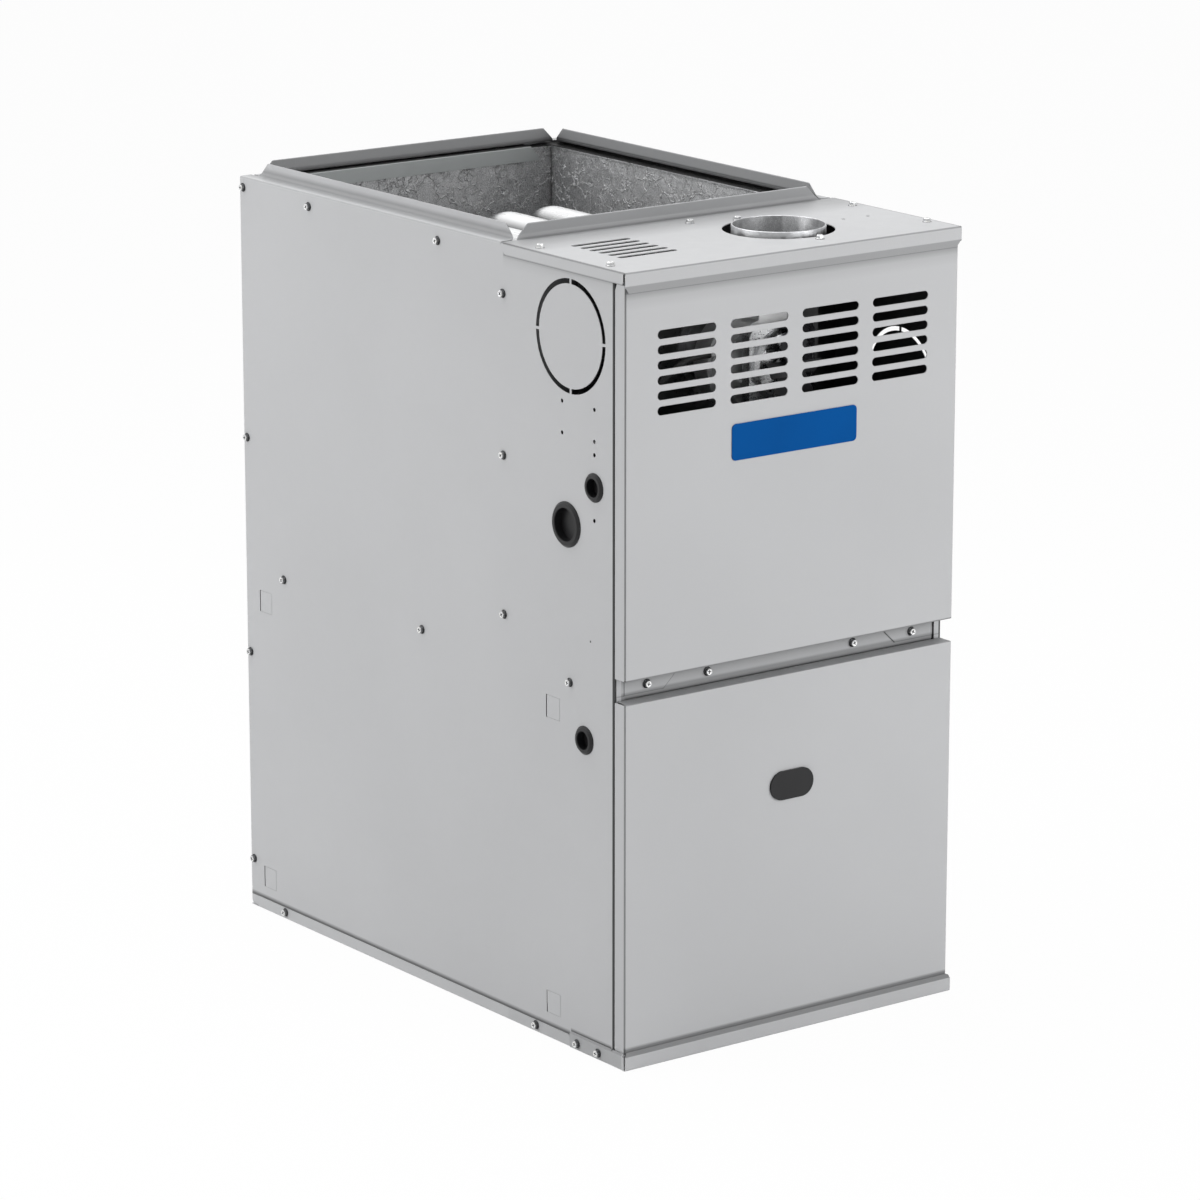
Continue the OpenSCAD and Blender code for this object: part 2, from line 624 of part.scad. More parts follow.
// Volute outline round a wheel centre: three quarter arcs of growing radius and a straight outlet
// that rises on the low side of the first coordinate
module volute(r1, a, wall, out_w, out_h) {
    c1 = [a / 2, -a / 2];
    c2 = [-a / 2, -a / 2];
    c3 = [-a / 2, a / 2];
    r3 = r1 + 2 * a;
    intersection() {
        translate(c1) circle(r1 - wall);
        rect(c2, [far, far]);
    }
    intersection() {
        translate(c2) circle(r1 + a - wall);
        rect([c2[0], -far], [far, c2[1]]);
    }
    intersection() {
        translate(c3) circle(r3 - wall);
        rect([-far, -far], c3);
    }
    left = c3[0] - r3;
    rect([left + wall, c3[1]], [left + out_w - wall, out_h + (wall > 0 ? 1 : 0)]);
}

inducer_r = 50;
inducer_a = 7;
// Pressure tap on the wrap of the housing
tap_r = 2.6;
tap_at = [inducer_x - inducer_r - 15.5, at(88), inducer_z + 12];
module inducer_volute(wall) mirror([1, 0]) volute(inducer_r, inducer_a, wall, 80, 66);
module at_inducer(d) translate([inducer_x, at(d), inducer_z]) rotate([90, 0, 0]) mirror([0, 0, 1]) children();

inducer_wall = 1.2;
inducer_shaft_r = 4;
module inducer_housing() color("silver") {
    depth = inducer_d[1] - inducer_d[0];
    difference() {
        union() {
            at_inducer(inducer_d[0]) linear_extrude(depth) inducer_volute(0);
            // joint rim and the neck on the flue collector
            at_inducer(inducer_d[0] + depth / 2 - 2) linear_extrude(4) intersection() {
                inducer_volute(-6);
                rect([-far, -far], [far, 64]);
            }
            rod_y([inducer_x, at(inducer_d[1]) - 1, inducer_z], inducer_neck_r, collector_d - inducer_d[1] + 1);
            translate([0, at(collector_d) - 3, 0]) rod_y([inducer_x, 0, inducer_z], inducer_neck_r + 9, 3);
            rod_x(tap_at, tap_r, 18);
        }
        at_inducer(inducer_d[0] + inducer_wall) linear_extrude(depth - 2 * inducer_wall) inducer_volute(inducer_wall);
        rod_y([inducer_x, at(inducer_d[1]) - 3, inducer_z], inducer_neck_r - 2, collector_d - inducer_d[1] + 8);
        rod_y([inducer_x, at(inducer_d[0]) - 1, inducer_z], 7, 5);
    }
}

// Shaded pole motor: end bells, laminated stack and three feet on the housing
inducer_motor_d = [36, 72];
module inducer_motor() color("silver") difference() {
    union() {
        turned_y([inducer_x, at(inducer_motor_d[0]), inducer_z])
            polygon([[0, 0], [14, 0], [16, 3], [36, 5], [40, 9], [40, 28], [36, 31], [20, 33], [16, 36], [0, 36]]);
        translate([inducer_x, 0, inducer_z]) plate_y(at(inducer_motor_d[0] + 12), 12) rounded(88, 84, 10);
        for (a = [90, 210, 330]) translate([inducer_x + 38 * cos(a), at(inducer_motor_d[0] + 10), inducer_z + 36 * sin(a)])
            rod_y([0, 0, 0], 5, 26);
    }
    rod_y([inducer_x, at(inducer_motor_d[0]) - 1, inducer_z], inducer_shaft_r + run_gap, 40);
}

module inducer_shaft() color("silver") rod_y([inducer_x, at(20), inducer_z], inducer_shaft_r, 100);

// Backward curved impeller between two discs
inducer_wheel_r = 42;
inducer_wheel_d = [80, 122];
module inducer_wheel() color("gray") {
    l = inducer_wheel_d[1] - inducer_wheel_d[0];
    difference() {
        union() {
            rod_y([inducer_x, at(inducer_wheel_d[0]), inducer_z], inducer_wheel_r, 1.2);
            rod_y([inducer_x, at(inducer_wheel_d[0]), inducer_z], 10, 30);
            rod_y([inducer_x, at(inducer_wheel_d[1]) - 1.2, inducer_z], inducer_wheel_r, 1.2);
            at_inducer(inducer_wheel_d[0]) linear_extrude(l) fan_blades(10, 27, inducer_wheel_r, 30, 1.2);
        }
        rod_y([inducer_x, at(inducer_wheel_d[1]) - 5, inducer_z], 27, 10);
        rod_y([inducer_x, at(inducer_wheel_d[0]) - 1, inducer_z], inducer_shaft_r, l);
    }
}

// Curved blades round a centre, between an inner and an outer radius
module fan_blades(count, r_in, r_out, curve_r, thick) intersection() {
    difference() {
        circle(r_out - 0.4);
        circle(r_in + 0.4);
    }
    mid = (r_in + r_out) / 2;
    for (i = [0:count - 1]) rotate(i * 360 / count) translate([mid + curve_r * 0.45, -curve_r * 0.9]) difference() {
        circle(curve_r + thick);
        circle(curve_r);
        translate([-far / 2, -far - curve_r * 0.2]) square(far);
        translate([curve_r * 0.25, -far / 2]) square(far);
    }
}

module inducer_cooling_fan() color("dimgray") {
    difference() {
        union() {
            rod_y([inducer_x, at(24), inducer_z], 9, 9);
            for (a = [0:60:300]) translate([inducer_x, at(28.5), inducer_z]) rotate([0, a, 0])
                rotate([35, 0, 0]) translate([7, -0.75, -9]) cube([26, 1.5, 18]);
        }
        rod_y([inducer_x, at(20), inducer_z], inducer_shaft_r, 40);
    }
}

module vent_collar() color("silver") {
    r = collar_od / 2;
    difference() {
        union() {
            rod_z([vent_x, at(vent_d), collar_z[0]], r, collar_z[1] - collar_z[0] - 0.8);
            translate([vent_x, at(vent_d), collar_z[1] - 0.8]) rotate_extrude() translate([r - 0.8, 0]) circle(0.8);
            plate_z(collar_z[0] - 6, 6) translate([vent_x, at(vent_d)]) rounded(112, 108, 8);
        }
        translate([vent_x, at(vent_d), collar_z[0] - 7]) cylinder(r = r - 1.6, h = 100);
    }
}

// ---------- burners and gas train ----------

module burner_box() color("silver") difference() {
    union() {
        block([-box_x, at(box_d[0]), box_z[0]], [box_x, at(box_d[1]), box_z[1]]);
        block([-box_x - 9, at(box_d[1]), box_z[0] - 9], [box_x + 9, at(vestibule_d), box_z[1] + 9]);
    }
    block([-box_x + t, at(box_d[0]) - 1, box_z[0] + t], [box_x - t, at(vestibule_d) + 1, box_z[1] - t]);
    for (x = [-90:30:90]) translate([x, at(150), box_z[0] - 1]) linear_extrude(3) rotate(90) slot(40, 6);
}

// In-shot burner: bell mouth, throat, flared head with its crossover wings
module burner(i) color("lightsteelblue") {
    x = tube_x(i);
    l = burner_d[1] - burner_d[0];
    turned_y([x, at(burner_d[0]), tube_low_z])
        polygon([[17, 0], [18, 0], [13.5, 9], [11.5, 20], [11.5, 38], [17, 52], [17, l], [15.8, l], [15.8, 52.6],
            [10.3, 38.4], [10.3, 19.8], [12.4, 8.4]]);
    // flame holder and crossover wings
    turned_y([x, at(burner_d[1] - 8), tube_low_z]) polygon([[6, 0], [15.8, 0], [15.8, 3], [6, 3]]);
    for (s = [-1, 1]) block([x + s * 23.4 - 6.6, at(burner_d[1] - 14), tube_low_z - 5],
        [x + s * 23.4 + 6.6, at(burner_d[1] - 6), tube_low_z + 5]);
    // foot on the floor of the box
    block([x - 9, at(burner_d[0] + 56), box_z[0] + t], [x + 9, at(burner_d[0] + 58), tube_low_z - 16.4]);
    block([x - 9, at(burner_d[0] + 46), box_z[0] + t], [x + 9, at(burner_d[0] + 58), box_z[0] + 2 * t]);
}
module burner_1() burner(0);
module burner_2() burner(1);
module burner_3() burner(2);
module burner_4() burner(3);

pipe_r = 10.7;
module gas_manifold() color("dimgray") {
    rod_x([-118, at(manifold_d), tube_low_z], pipe_r, 236);
    rod_z([riser_x, at(manifold_d), tube_low_z], pipe_r, valve_z[0] - 6 - tube_low_z);
    rod_z([riser_x, at(manifold_d), tube_low_z - 14], 14, 30);
    for (s = [-1, 1]) rod_x([s * 124 - 8, at(manifold_d), tube_low_z], 13.5, 16);
    // ears that hang the pipe on the burner box
    for (s = [-1, 1]) block([s * (box_x + 1) - 1, at(manifold_d), tube_low_z - 12],
        [s * (box_x + 1) + 1, at(box_d[0]) + 34, tube_low_z + 12]);
}

module gas_orifices() color("goldenrod") for (i = [0:3]) difference() {
    union() {
        translate([tube_x(i), at(manifold_d) + pipe_r - 0.2, tube_low_z]) rotate([-90, 0, 0]) cylinder(r = 7, h = 6, $fn = 6);
        turned_y([tube_x(i), at(manifold_d) + pipe_r + 5, tube_low_z]) polygon([[0, 0], [5, 0], [5, 3], [3, 7], [0, 7]]);
    }
    rod_y([tube_x(i), at(manifold_d) + pipe_r + 4, tube_low_z], 0.9, 10);
    rod_x([tube_x(i) - 10, at(manifold_d), tube_low_z], pipe_r, 20);
}

module gas_valve() color("silver") difference() {
    union() {
        translate([(valve_x[0] + valve_x[1]) / 2, at((valve_d[0] + valve_d[1]) / 2 + 4), valve_z[0]])
            linear_extrude(valve_z[1] - valve_z[0]) rounded(valve_x[1] - valve_x[0], valve_d[1] - valve_d[0] - 8, 8);
        block([valve_x[0] + 6, at(valve_d[0]), valve_z[0] + 6], [valve_x[1] - 6, at(valve_d[0] + 12), valve_z[1] - 6]);
        rod_x([valve_x[1] - 1, at(gas_at[0]), gas_at[1]], 16, 15);
        rod_z([riser_x, at(manifold_d), valve_z[0] - 6], 15, 8);
        // regulator tower, coils and terminals
        rod_z([valve_x[0] + 20, at(gas_at[0]), valve_z[1] - 1], 11, 19);
        rod_z([valve_x[0] + 20, at(gas_at[0]), valve_z[1]], 7, 22);
        rod_z([valve_x[1] - 26, at(gas_at[0]), valve_z[1] - 1], 17, 23);
        for (k = [0, 1]) block([valve_x[0] + 12 + 12 * k, at(valve_d[0] - 8), valve_z[0] + 12],
            [valve_x[0] + 13 + 12 * k, at(valve_d[0] + 2), valve_z[0] + 18]);
    }
    rod_x([valve_x[1] - 2, at(gas_at[0]), gas_at[1]], gas_port_r, 30);
    rod_z([riser_x, at(manifold_d), valve_z[0] - 10], pipe_r, 4);
    // well of the switch
    block([switch_x - 10, at(valve_d[0]) - 1, switch_z - 6.4], [switch_x + 10, at(valve_d[0] + 7), switch_z + 6.4]);
}
// Rocker of the gas valve; it turns about a line parallel to Z through its middle
rocker_d = valve_d[0] + 3.4;
rocker_swing = 22;
module valve_switch() color("red") translate([switch_x, at(rocker_d), switch_z - 6]) rotate(-rocker_swing / 2)
    linear_extrude(12) polygon([[-8.4, -6.2], [0, -4.4], [8.4, -6.2], [8.4, -1], [3, 2.4], [-3, 2.4], [-8.4, -1]]);

module igniter() color("whitesmoke") {
    x = tube_x(0);
    z0 = tube_low_z + 14;
    block([x - 34, at(burner_d[1] - 30), z0 + 6], [x - 20, at(burner_d[1] - 2), z0 + 18]);
    for (s = [0, 1]) block([x - 30 + s * 5, at(burner_d[1] - 2), z0 + 9], [x - 28 + s * 5, at(burner_d[1] + 5), z0 + 15]);
    block([x - 30, at(burner_d[1] + 3), z0 + 9], [x - 23, at(burner_d[1] + 5), z0 + 15]);
    block([x - 35, at(burner_d[1] - 30), z0 + 18], [x - 12, at(burner_d[1] - 10), z0 + 19]);
    block([x - 35, at(burner_d[1] - 12), z0 + 18], [x - 12, at(burner_d[1] - 11), box_z[1] - t]);
}

module flame_sensor() color("whitesmoke") {
    x = tube_x(3);
    z0 = tube_low_z + 22;
    rod_y([x + 24, at(burner_d[1] - 26), z0], 4, 20);
    rod_y([x + 24, at(burner_d[1] - 34), z0], 1.3, 40);
    block([x + 16, at(burner_d[1] - 16), z0 + 3], [x + 32, at(burner_d[1] - 15), box_z[1] - t]);
}

// Snap discs: two on the burner box beside the reset buttons, and the air limit on the wall behind
module snap_disc() difference() {
    union() {
        cylinder(r = 9.5, h = 7);
        translate([-15, -5, 0]) cube([30, 10, 1]);
        for (s = [-1, 1]) translate([s * 6 - 0.4, -3, 6]) cube([0.8, 6, 9]);
    }
    translate([0, 0, 2]) cylinder(r = 2.5 + run_gap, h = 10);
}
module limit_switches() color("black") {
    for (s = [-1, 1]) translate([s * button_x, at(button_d), box_z[1]]) snap_disc();
    translate([0, at(vestibule_d), 600]) rotate([90, 0, 0]) snap_disc();
}
module reset_button(x) color("red") rod_z([x, at(button_d), box_z[1] + 4], 2.5, 7);
module rollout_button_left() reset_button(-button_x);
module rollout_button_right() reset_button(button_x);

// ---------- controls ----------

switch_at = [-172, 640];
module pressure_switch() color("darkslategray") {
    turned_y([switch_at[0], at(160), switch_at[1]])
        polygon([[0, 0], [24, 0], [26, 3], [31, 9], [33, 11], [33, 15], [31, 17], [29, 24], [20, 32], [0, 32]]);
    rod_y([switch_at[0], at(191), switch_at[1]], 5, vestibule_d - 191);
    rod_y([switch_at[0] + 12, at(150), switch_at[1] + 8], 2.6, 12);
    translate([switch_at[0] - 22, at(154), switch_at[1] - 16]) cube([18, 8, 12]);
}

hose_route = [
    [switch_at[0] + 12, at(150), switch_at[1] + 8], [switch_at[0] + 12, at(138), switch_at[1] + 8],
    [-154, at(118), 656], [-132, at(104), 680], [-106, at(94), 710], [-80, at(88), 730],
    [-60, tap_at[1], tap_at[2]], tap_at
];
module pressure_hose() color("black") cable(curve(hose_route, 5), 3.4);

// Wiring box on the left side panel, open towards the panel
module junction_box() color("silver") difference() {
    block([-half_w + t, at(24), 594.5], [-half_w + 46, at(92), 660]);
    block([-half_w, at(25), 595.5], [-half_w + 45, at(91), 659]);
    rod_z([-half_w + 26, at(70), 590], 8, 10);
}

panel_d = 62;
module control_panel() color("silver") {
    difference() {
        translate([-100, 0, 0]) rotate([90, 0, 90]) linear_extrude(200)
            folded([[at(96), deck_z - t / 2], [at(panel_d) + t / 2, deck_z - t / 2], [at(panel_d) + t / 2, 208]], [bend_r]);
        for (x = [-80, 80], z = [220, 330]) rod_y([x, at(panel_d) - 1, z], 1.5, 4);
    }
}

// Printed circuit board on posts, with relays, connectors, a blade strip and a display
module control_board() color("darkgreen") {
    board_d = panel_d - 12;
    block([-88, at(board_d), 212], [88, at(board_d) + 1.6, 340]);
    for (x = [-80, 80], z = [220, 330]) rod_y([x, at(board_d) + 1.5, z], 3, panel_d - board_d - 1.5);
    for (x = [-66, -42, -18]) block([x, at(board_d - 16), 296], [x + 18, at(board_d) + 0.5, 324]);
    for (x = [14, 44]) rod_y([x, at(board_d - 22), 312], 9, 22.5);
    block([-70, at(board_d - 8), 222], [-6, at(board_d) + 0.5, 234]);
    block([14, at(board_d - 9), 221], [76, at(board_d) + 0.5, 232]);
    block([-14, at(board_d - 4), 266], [22, at(board_d) + 0.5, 288]);
    for (x = [-74:12:-26]) block([x, at(board_d - 7), 256], [x + 1, at(board_d) + 0.5, 262]);
    for (z = [252:14:280]) block([56, at(board_d - 10), z], [76, at(board_d) + 0.5, z + 9]);
}

module transformer() color("dimgray") {
    block([34, at(25), 356], [86, at(panel_d), 396]);
    block([41, at(20), 361], [79, at(panel_d - 4), 391]);
    block([26, at(panel_d - 2), 352], [94, at(panel_d), 400]);
}

harness_route = [
    [-40, at(42), 228], [-40, at(34), 226], [-46, at(28), 210], [-78, at(34), 194], [-114, at(54), 212], [-134, at(72), 270],
    [-146, at(84), 340], [-150, at(90), 400], [-152, at(88), 440], [-166, at(76), 500], [-186, at(70), 550],
    [-half_w + 28, at(70), 580], [-half_w + 26, at(70), 598]
];
module wire_harness() color("black") cable(curve(harness_route, 4), 5);

// Interlock switch behind the lower door, hung from the rail
interlock_x = -172;
interlock_z = 388;
module door_switch() color("whitesmoke") difference() {
    union() {
        block([interlock_x - 9, at(22), interlock_z - 9], [interlock_x + 9, at(46), rail_z[0]]);
        for (k = [-1, 1]) block([interlock_x + k * 4 - 0.4, at(45), interlock_z - 3], [interlock_x + k * 4 + 0.4, at(54), interlock_z + 3]);
    }
    rod_y([interlock_x, at(21), interlock_z], 3 + run_gap, 16);
}
module switch_plunger() color("red") rod_y([interlock_x, at(door_return) + 0.3, interlock_z], 3, 12.7);

// ---------- blower ----------

module blower_volute(wall) volute(scroll_r, scroll_a, wall, outlet_d[1] - outlet_d[0], deck_z - wheel_z);
module at_wheel(x) translate([x, at(wheel_d), wheel_z]) rotate([90, 0, 90]) children();
inlet_r = 112;
inlet_roll = 8;
// Scroll sheet of the housing, which wraps round the wheel and rises to the outlet
module blower_housing() color("silver") at_wheel(-blower_x + t) linear_extrude(2 * (blower_x - t)) difference() {
    blower_volute(0);
    blower_volute(t);
}

// The two side sheets of the housing, each with a rolled inlet ring
module blower_side_sheets() color("silver") both_sides() {
    hole_r = inlet_r + inlet_roll;
    difference() {
        at_wheel(blower_x - t) linear_extrude(t) blower_volute(0);
        rod_x([blower_x - t - 1, at(wheel_d), wheel_z], hole_r, t + 2);
    }
    turned_x([blower_x - t - inlet_roll, at(wheel_d), wheel_z]) translate([hole_r, 0]) intersection() {
        difference() {
            circle(inlet_roll + t);
            circle(inlet_roll);
        }
        translate([-far, 0]) square(far);
    }
    turned_x([blower_x - t, at(wheel_d), wheel_z]) rect([hole_r - 1, 0], [hole_r + 3, t]);
}

// Double inlet wheel with forward curved blades, end rings and a centre disc on a hub
module blower_wheel() color("silver") {
    r_in = wheel_r - 23;
    difference() {
        union() {
            at_wheel(-wheel_w / 2) linear_extrude(wheel_w) fan_blades(blade_count, r_in, wheel_r, 17, 1);
            for (x = [-wheel_w / 2, wheel_w / 2 - 1.5]) rod_x([x, at(wheel_d), wheel_z], wheel_r, 1.5);
            rod_x([-1, at(wheel_d), wheel_z], wheel_r, 2);
            rod_x([-22, at(wheel_d), wheel_z], 18, 40);
        }
        for (x = [-wheel_w / 2 - 1, wheel_w / 2 - 4]) rod_x([x, at(wheel_d), wheel_z], r_in, 5);
        rod_x([-30, at(wheel_d), wheel_z], shaft_r, 60);
    }
}

module blower_shaft() color("silver") rod_x([-26, at(wheel_d), wheel_z], shaft_r, 86);

motor_x = [24, 156];
module blower_motor() color("dimgray") difference() {
    union() {
        turned_x([motor_x[0], at(wheel_d), wheel_z])
            polygon([[0, 0], [18, 0], [20, 4], [52, 7], [66, 12], [motor_r, 20], [motor_r, 112], [66, 120], [52, 126],
                [20, 129], [18, 132], [0, 132]]);
    }
    rod_x([motor_x[0] - 1, at(wheel_d), wheel_z], shaft_r + run_gap, 38);
    for (a = [0:30:330]) translate([motor_x[0], at(wheel_d), wheel_z]) rotate([a, 0, 0]) translate([-1, 30, -3]) cube([9, 18, 6]);
    for (a = [0:30:330]) translate([motor_x[1], at(wheel_d), wheel_z]) rotate([a, 0, 0]) translate([-8, 30, -3]) cube([9, 18, 6]);
}

module motor_mount() color("gray") {
    band_x = [126, 142];
    difference() {
        rod_x([band_x[0], at(wheel_d), wheel_z], motor_r + 2, band_x[1] - band_x[0]);
        rod_x([band_x[0] - 1, at(wheel_d), wheel_z], motor_r, 30);
    }
    for (a = [90, 210, 330]) translate([blower_x, at(wheel_d), wheel_z]) rotate([a, 0, 0]) {
        translate([0, motor_r + 1, -9]) cube([2, 60, 18]);
        translate([0, motor_r + 1, -1]) cube([9, 50, 2]);
        translate([2, motor_r + 54, 0]) rotate([0, 90, 0]) cylinder(r = 5, h = 4, $fn = 6);
    }
}

module run_capacitor() color("lightgray") {
    rod_z([100, at(outlet_d[0]) - 22, 250], 20, 70);
    rod_z([100, at(outlet_d[0]) - 22, 320], 12, 4);
    for (s = [-1, 1]) block([100 + s * 6 - 0.4, at(outlet_d[0]) - 26, 323], [100 + s * 6 + 0.4, at(outlet_d[0]) - 19, 333]);
    // strap back to the housing
    block([78, at(outlet_d[0]) - 3, 275], [122, at(outlet_d[0]), 295]);
}

// ---------- the furnace ----------

left_side_panel();
right_side_panel();
back_panel();
top_panel();
rear_plenum_strip();
base_pan();
front_sill();
blower_deck();
door_rail();
rail_brackets();
vestibule_panel();
foil_liners();
upper_door();
badge_plate();
lower_door();
sight_plug();
hole_plugs();
gas_grommet();
cabinet_screws();
heat_tube_1();
heat_tube_2();
heat_tube_3();
heat_tube_4();
flue_collector();
inducer_housing();
inducer_motor();
inducer_shaft();
inducer_wheel();
inducer_cooling_fan();
vent_collar();
pressure_switch();
pressure_hose();
burner_box();
burner_1();
burner_2();
burner_3();
burner_4();
gas_manifold();
gas_orifices();
gas_valve();
valve_switch();
igniter();
flame_sensor();
limit_switches();
rollout_button_left();
rollout_button_right();
junction_box();
control_panel();
control_board();
transformer();
wire_harness();
door_switch();
switch_plunger();
blower_housing();
blower_side_sheets();
blower_wheel();
blower_shaft();
blower_motor();
motor_mount();
run_capacitor();
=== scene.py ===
import json
import math

import bmesh
import bpy
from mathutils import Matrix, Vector, noise


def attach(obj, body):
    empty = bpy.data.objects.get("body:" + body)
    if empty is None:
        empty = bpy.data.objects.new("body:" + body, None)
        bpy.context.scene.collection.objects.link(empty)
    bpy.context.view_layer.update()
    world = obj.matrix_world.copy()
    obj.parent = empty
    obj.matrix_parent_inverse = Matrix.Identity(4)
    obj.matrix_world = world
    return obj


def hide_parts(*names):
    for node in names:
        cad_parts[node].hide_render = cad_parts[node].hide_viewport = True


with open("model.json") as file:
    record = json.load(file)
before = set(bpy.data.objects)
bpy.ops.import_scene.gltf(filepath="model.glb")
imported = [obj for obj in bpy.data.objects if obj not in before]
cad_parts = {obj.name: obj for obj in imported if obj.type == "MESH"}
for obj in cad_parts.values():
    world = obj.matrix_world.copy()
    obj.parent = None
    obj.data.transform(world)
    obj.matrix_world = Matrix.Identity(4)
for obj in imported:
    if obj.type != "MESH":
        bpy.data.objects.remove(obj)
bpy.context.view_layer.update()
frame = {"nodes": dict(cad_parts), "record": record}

MM = 0.001
WELD = 1e-6
DOOR_FACE = -357.8  # where the door faces stand along Y, in millimetres

# ---------------------------------------------------------------- camera

PHOTO_WIDTH = 1200
FOCAL_PIXELS = 5218.263
SENSOR = 36.0
CAMERA_AT = Vector((-3.352385, -4.524775, 1.854862))
AZIMUTH = math.radians(-36.632)
ELEVATION = math.radians(14.437)


def make_camera():
    data = bpy.data.cameras.new("photo_camera")
    data.sensor_width = SENSOR
    data.lens = FOCAL_PIXELS / PHOTO_WIDTH * SENSOR
    data.clip_start, data.clip_end = 0.1, 100
    camera = bpy.data.objects.new("photo_camera", data)
    bpy.context.scene.collection.objects.link(camera)
    level = math.cos(ELEVATION)
    back = Vector((math.sin(AZIMUTH) * level, -math.cos(AZIMUTH) * level, math.sin(ELEVATION)))
    camera.location = CAMERA_AT
    camera.rotation_mode = "QUATERNION"
    camera.rotation_quaternion = (-back).to_track_quat("-Z", "Y")
    bpy.context.scene.camera = camera


make_camera()
bpy.context.scene.view_settings.view_transform = "Standard"

# ---------------------------------------------------------------- shader writing


class Value:
    """A number or colour on its way through a material; arithmetic on it adds Math nodes."""

    def __init__(self, finish, socket):
        self.finish, self.socket = finish, socket

    def _math(self, operation, a, b=None):
        values = [a] if b is None else [a, b]
        return self.finish.node("ShaderNodeMath", {"operation": operation}, dict(enumerate(values)))

    def __add__(self, other):
        return self._math("ADD", self, other)

    def __radd__(self, other):
        return self._math("ADD", other, self)

    def __sub__(self, other):
        return self._math("SUBTRACT", self, other)

    def __rsub__(self, other):
        return self._math("SUBTRACT", other, self)

    def __mul__(self, other):
        return self._math("MULTIPLY", self, other)

    def __rmul__(self, other):
        return self._math("MULTIPLY", other, self)

    def __truediv__(self, other):
        return self._math("DIVIDE", self, other)

    def __gt__(self, other):
        return self._math("GREATER_THAN", self, other)

    def least(self, other):
        return self._math("MINIMUM", self, other)

    def clamp(self):
        return self._math("MINIMUM", self._math("MAXIMUM", self, 0.0), 1.0)

    def abs(self):
        return self._math("ABSOLUTE", self)


class Finish:
    """One material: its nodes are made by node(), its surface by surface()."""

    def __init__(self, name):
        self.material = bpy.data.materials.new(name)
        self.material.use_nodes = True
        self.tree = self.material.node_tree
        self.tree.nodes.clear()
        self.place = self.node("ShaderNodeTexCoord", out="Object")

    def node(self, kind, settings=None, inputs=None, out=0):
        made = self.tree.nodes.new(kind)
        for key, setting in (settings or {}).items():
            if key == "stops":
                ramp = made.color_ramp
                while len(ramp.elements) < len(setting):
                    ramp.elements.new(0.5)
                for element, (position, colour) in zip(ramp.elements, setting):
                    element.position, element.color = position, colour
            else:
                setattr(made, key, setting)
        for key, value in (inputs or {}).items():
            socket = made.inputs[key]
            if isinstance(value, Value):
                self.tree.links.new(value.socket, socket)
            else:
                socket.default_value = value
        return Value(self, made.outputs[out])

    def axis(self, name):
        return self.node("ShaderNodeSeparateXYZ", None, {"Vector": self.place}, name)

    def mm(self, name):
        return self.axis(name) / MM

    def behind(self):
        """Distance behind the door faces, in millimetres."""
        return self.mm("Y") - DOOR_FACE

    def noise(self, scale, detail=3.0, rough=0.5, place=None):
        inputs = {"Vector": place or self.place, "Scale": scale, "Detail": detail, "Roughness": rough}
        return self.node("ShaderNodeTexNoise", {"noise_dimensions": "3D"}, inputs)

    def cells(self, scale, feature="F1", out="Distance", place=None):
        inputs = {"Vector": place or self.place, "Scale": scale}
        return self.node("ShaderNodeTexVoronoi", {"feature": feature}, inputs, out)

    def stretched(self, x, y, z):
        return self.node("ShaderNodeMapping", None, {"Vector": self.place, "Scale": (x, y, z)})

    def step(self, value, low, high, from_value=0.0, to_value=1.0):
        inputs = {"Value": value, "From Min": low, "From Max": high, "To Min": from_value, "To Max": to_value}
        return self.node("ShaderNodeMapRange", {"clamp": True}, inputs)

    def between(self, share, colour_a, colour_b):
        """colour_a where share is 0 and colour_b where it is 1."""
        made = self.tree.nodes.new("ShaderNodeMix")
        made.data_type = "RGBA"
        for index, value in ((0, share), (6, colour_a), (7, colour_b)):
            if isinstance(value, Value):
                self.tree.links.new(value.socket, made.inputs[index])
            else:
                made.inputs[index].default_value = value if index == 0 else (*value, 1.0)
        return Value(self, made.outputs[2])

    def bump(self, height, distance, strength=1.0, under=None):
        inputs = {"Height": height, "Distance": distance, "Strength": strength}
        if under is not None:
            inputs["Normal"] = under
        return self.node("ShaderNodeBump", None, inputs)

    def surface(self, **sockets):
        inputs = {}
        for key, value in sockets.items():
            name = key.replace("_", " ").title()
            name = {"Ior": "IOR", "Specular": "Specular IOR Level"}.get(name, name)
            inputs[name] = (*value, 1.0) if isinstance(value, tuple) and len(value) == 3 else value
        shader = self.node("ShaderNodeBsdfPrincipled", None, inputs)
        self.tree.links.new(shader.socket, self.tree.nodes.new("ShaderNodeOutputMaterial").inputs["Surface"])
        return self.material


# ---------------------------------------------------------------- finishes

# The strip behind the supply opening lies beyond these two, in metres; its top, in millimetres, is in a gap, painted
# black as shade
STRIP_Y, STRIP_Z = 0.3424, 0.8345
STRIP_GAP = (852.9, 853.1)
HOUSING_SHADE = 48  # X from which the inducer's housing lies in shade, in millimetres
VENT_AT = (57.7, -256.0)  # middle of the vent collar, in millimetres
VENT_BORE = (50.2, 49.9)
FOIL_GAP = (850.8, 851.3)  # heights at which the foil runs into the gap under the duct flanges
TOP_SCREWS = (0.8560, 0.8562)  # heights above which only the top sheet's screws lie, in metres
DEEP_SHADE = (0.02, 0.02, 0.021)
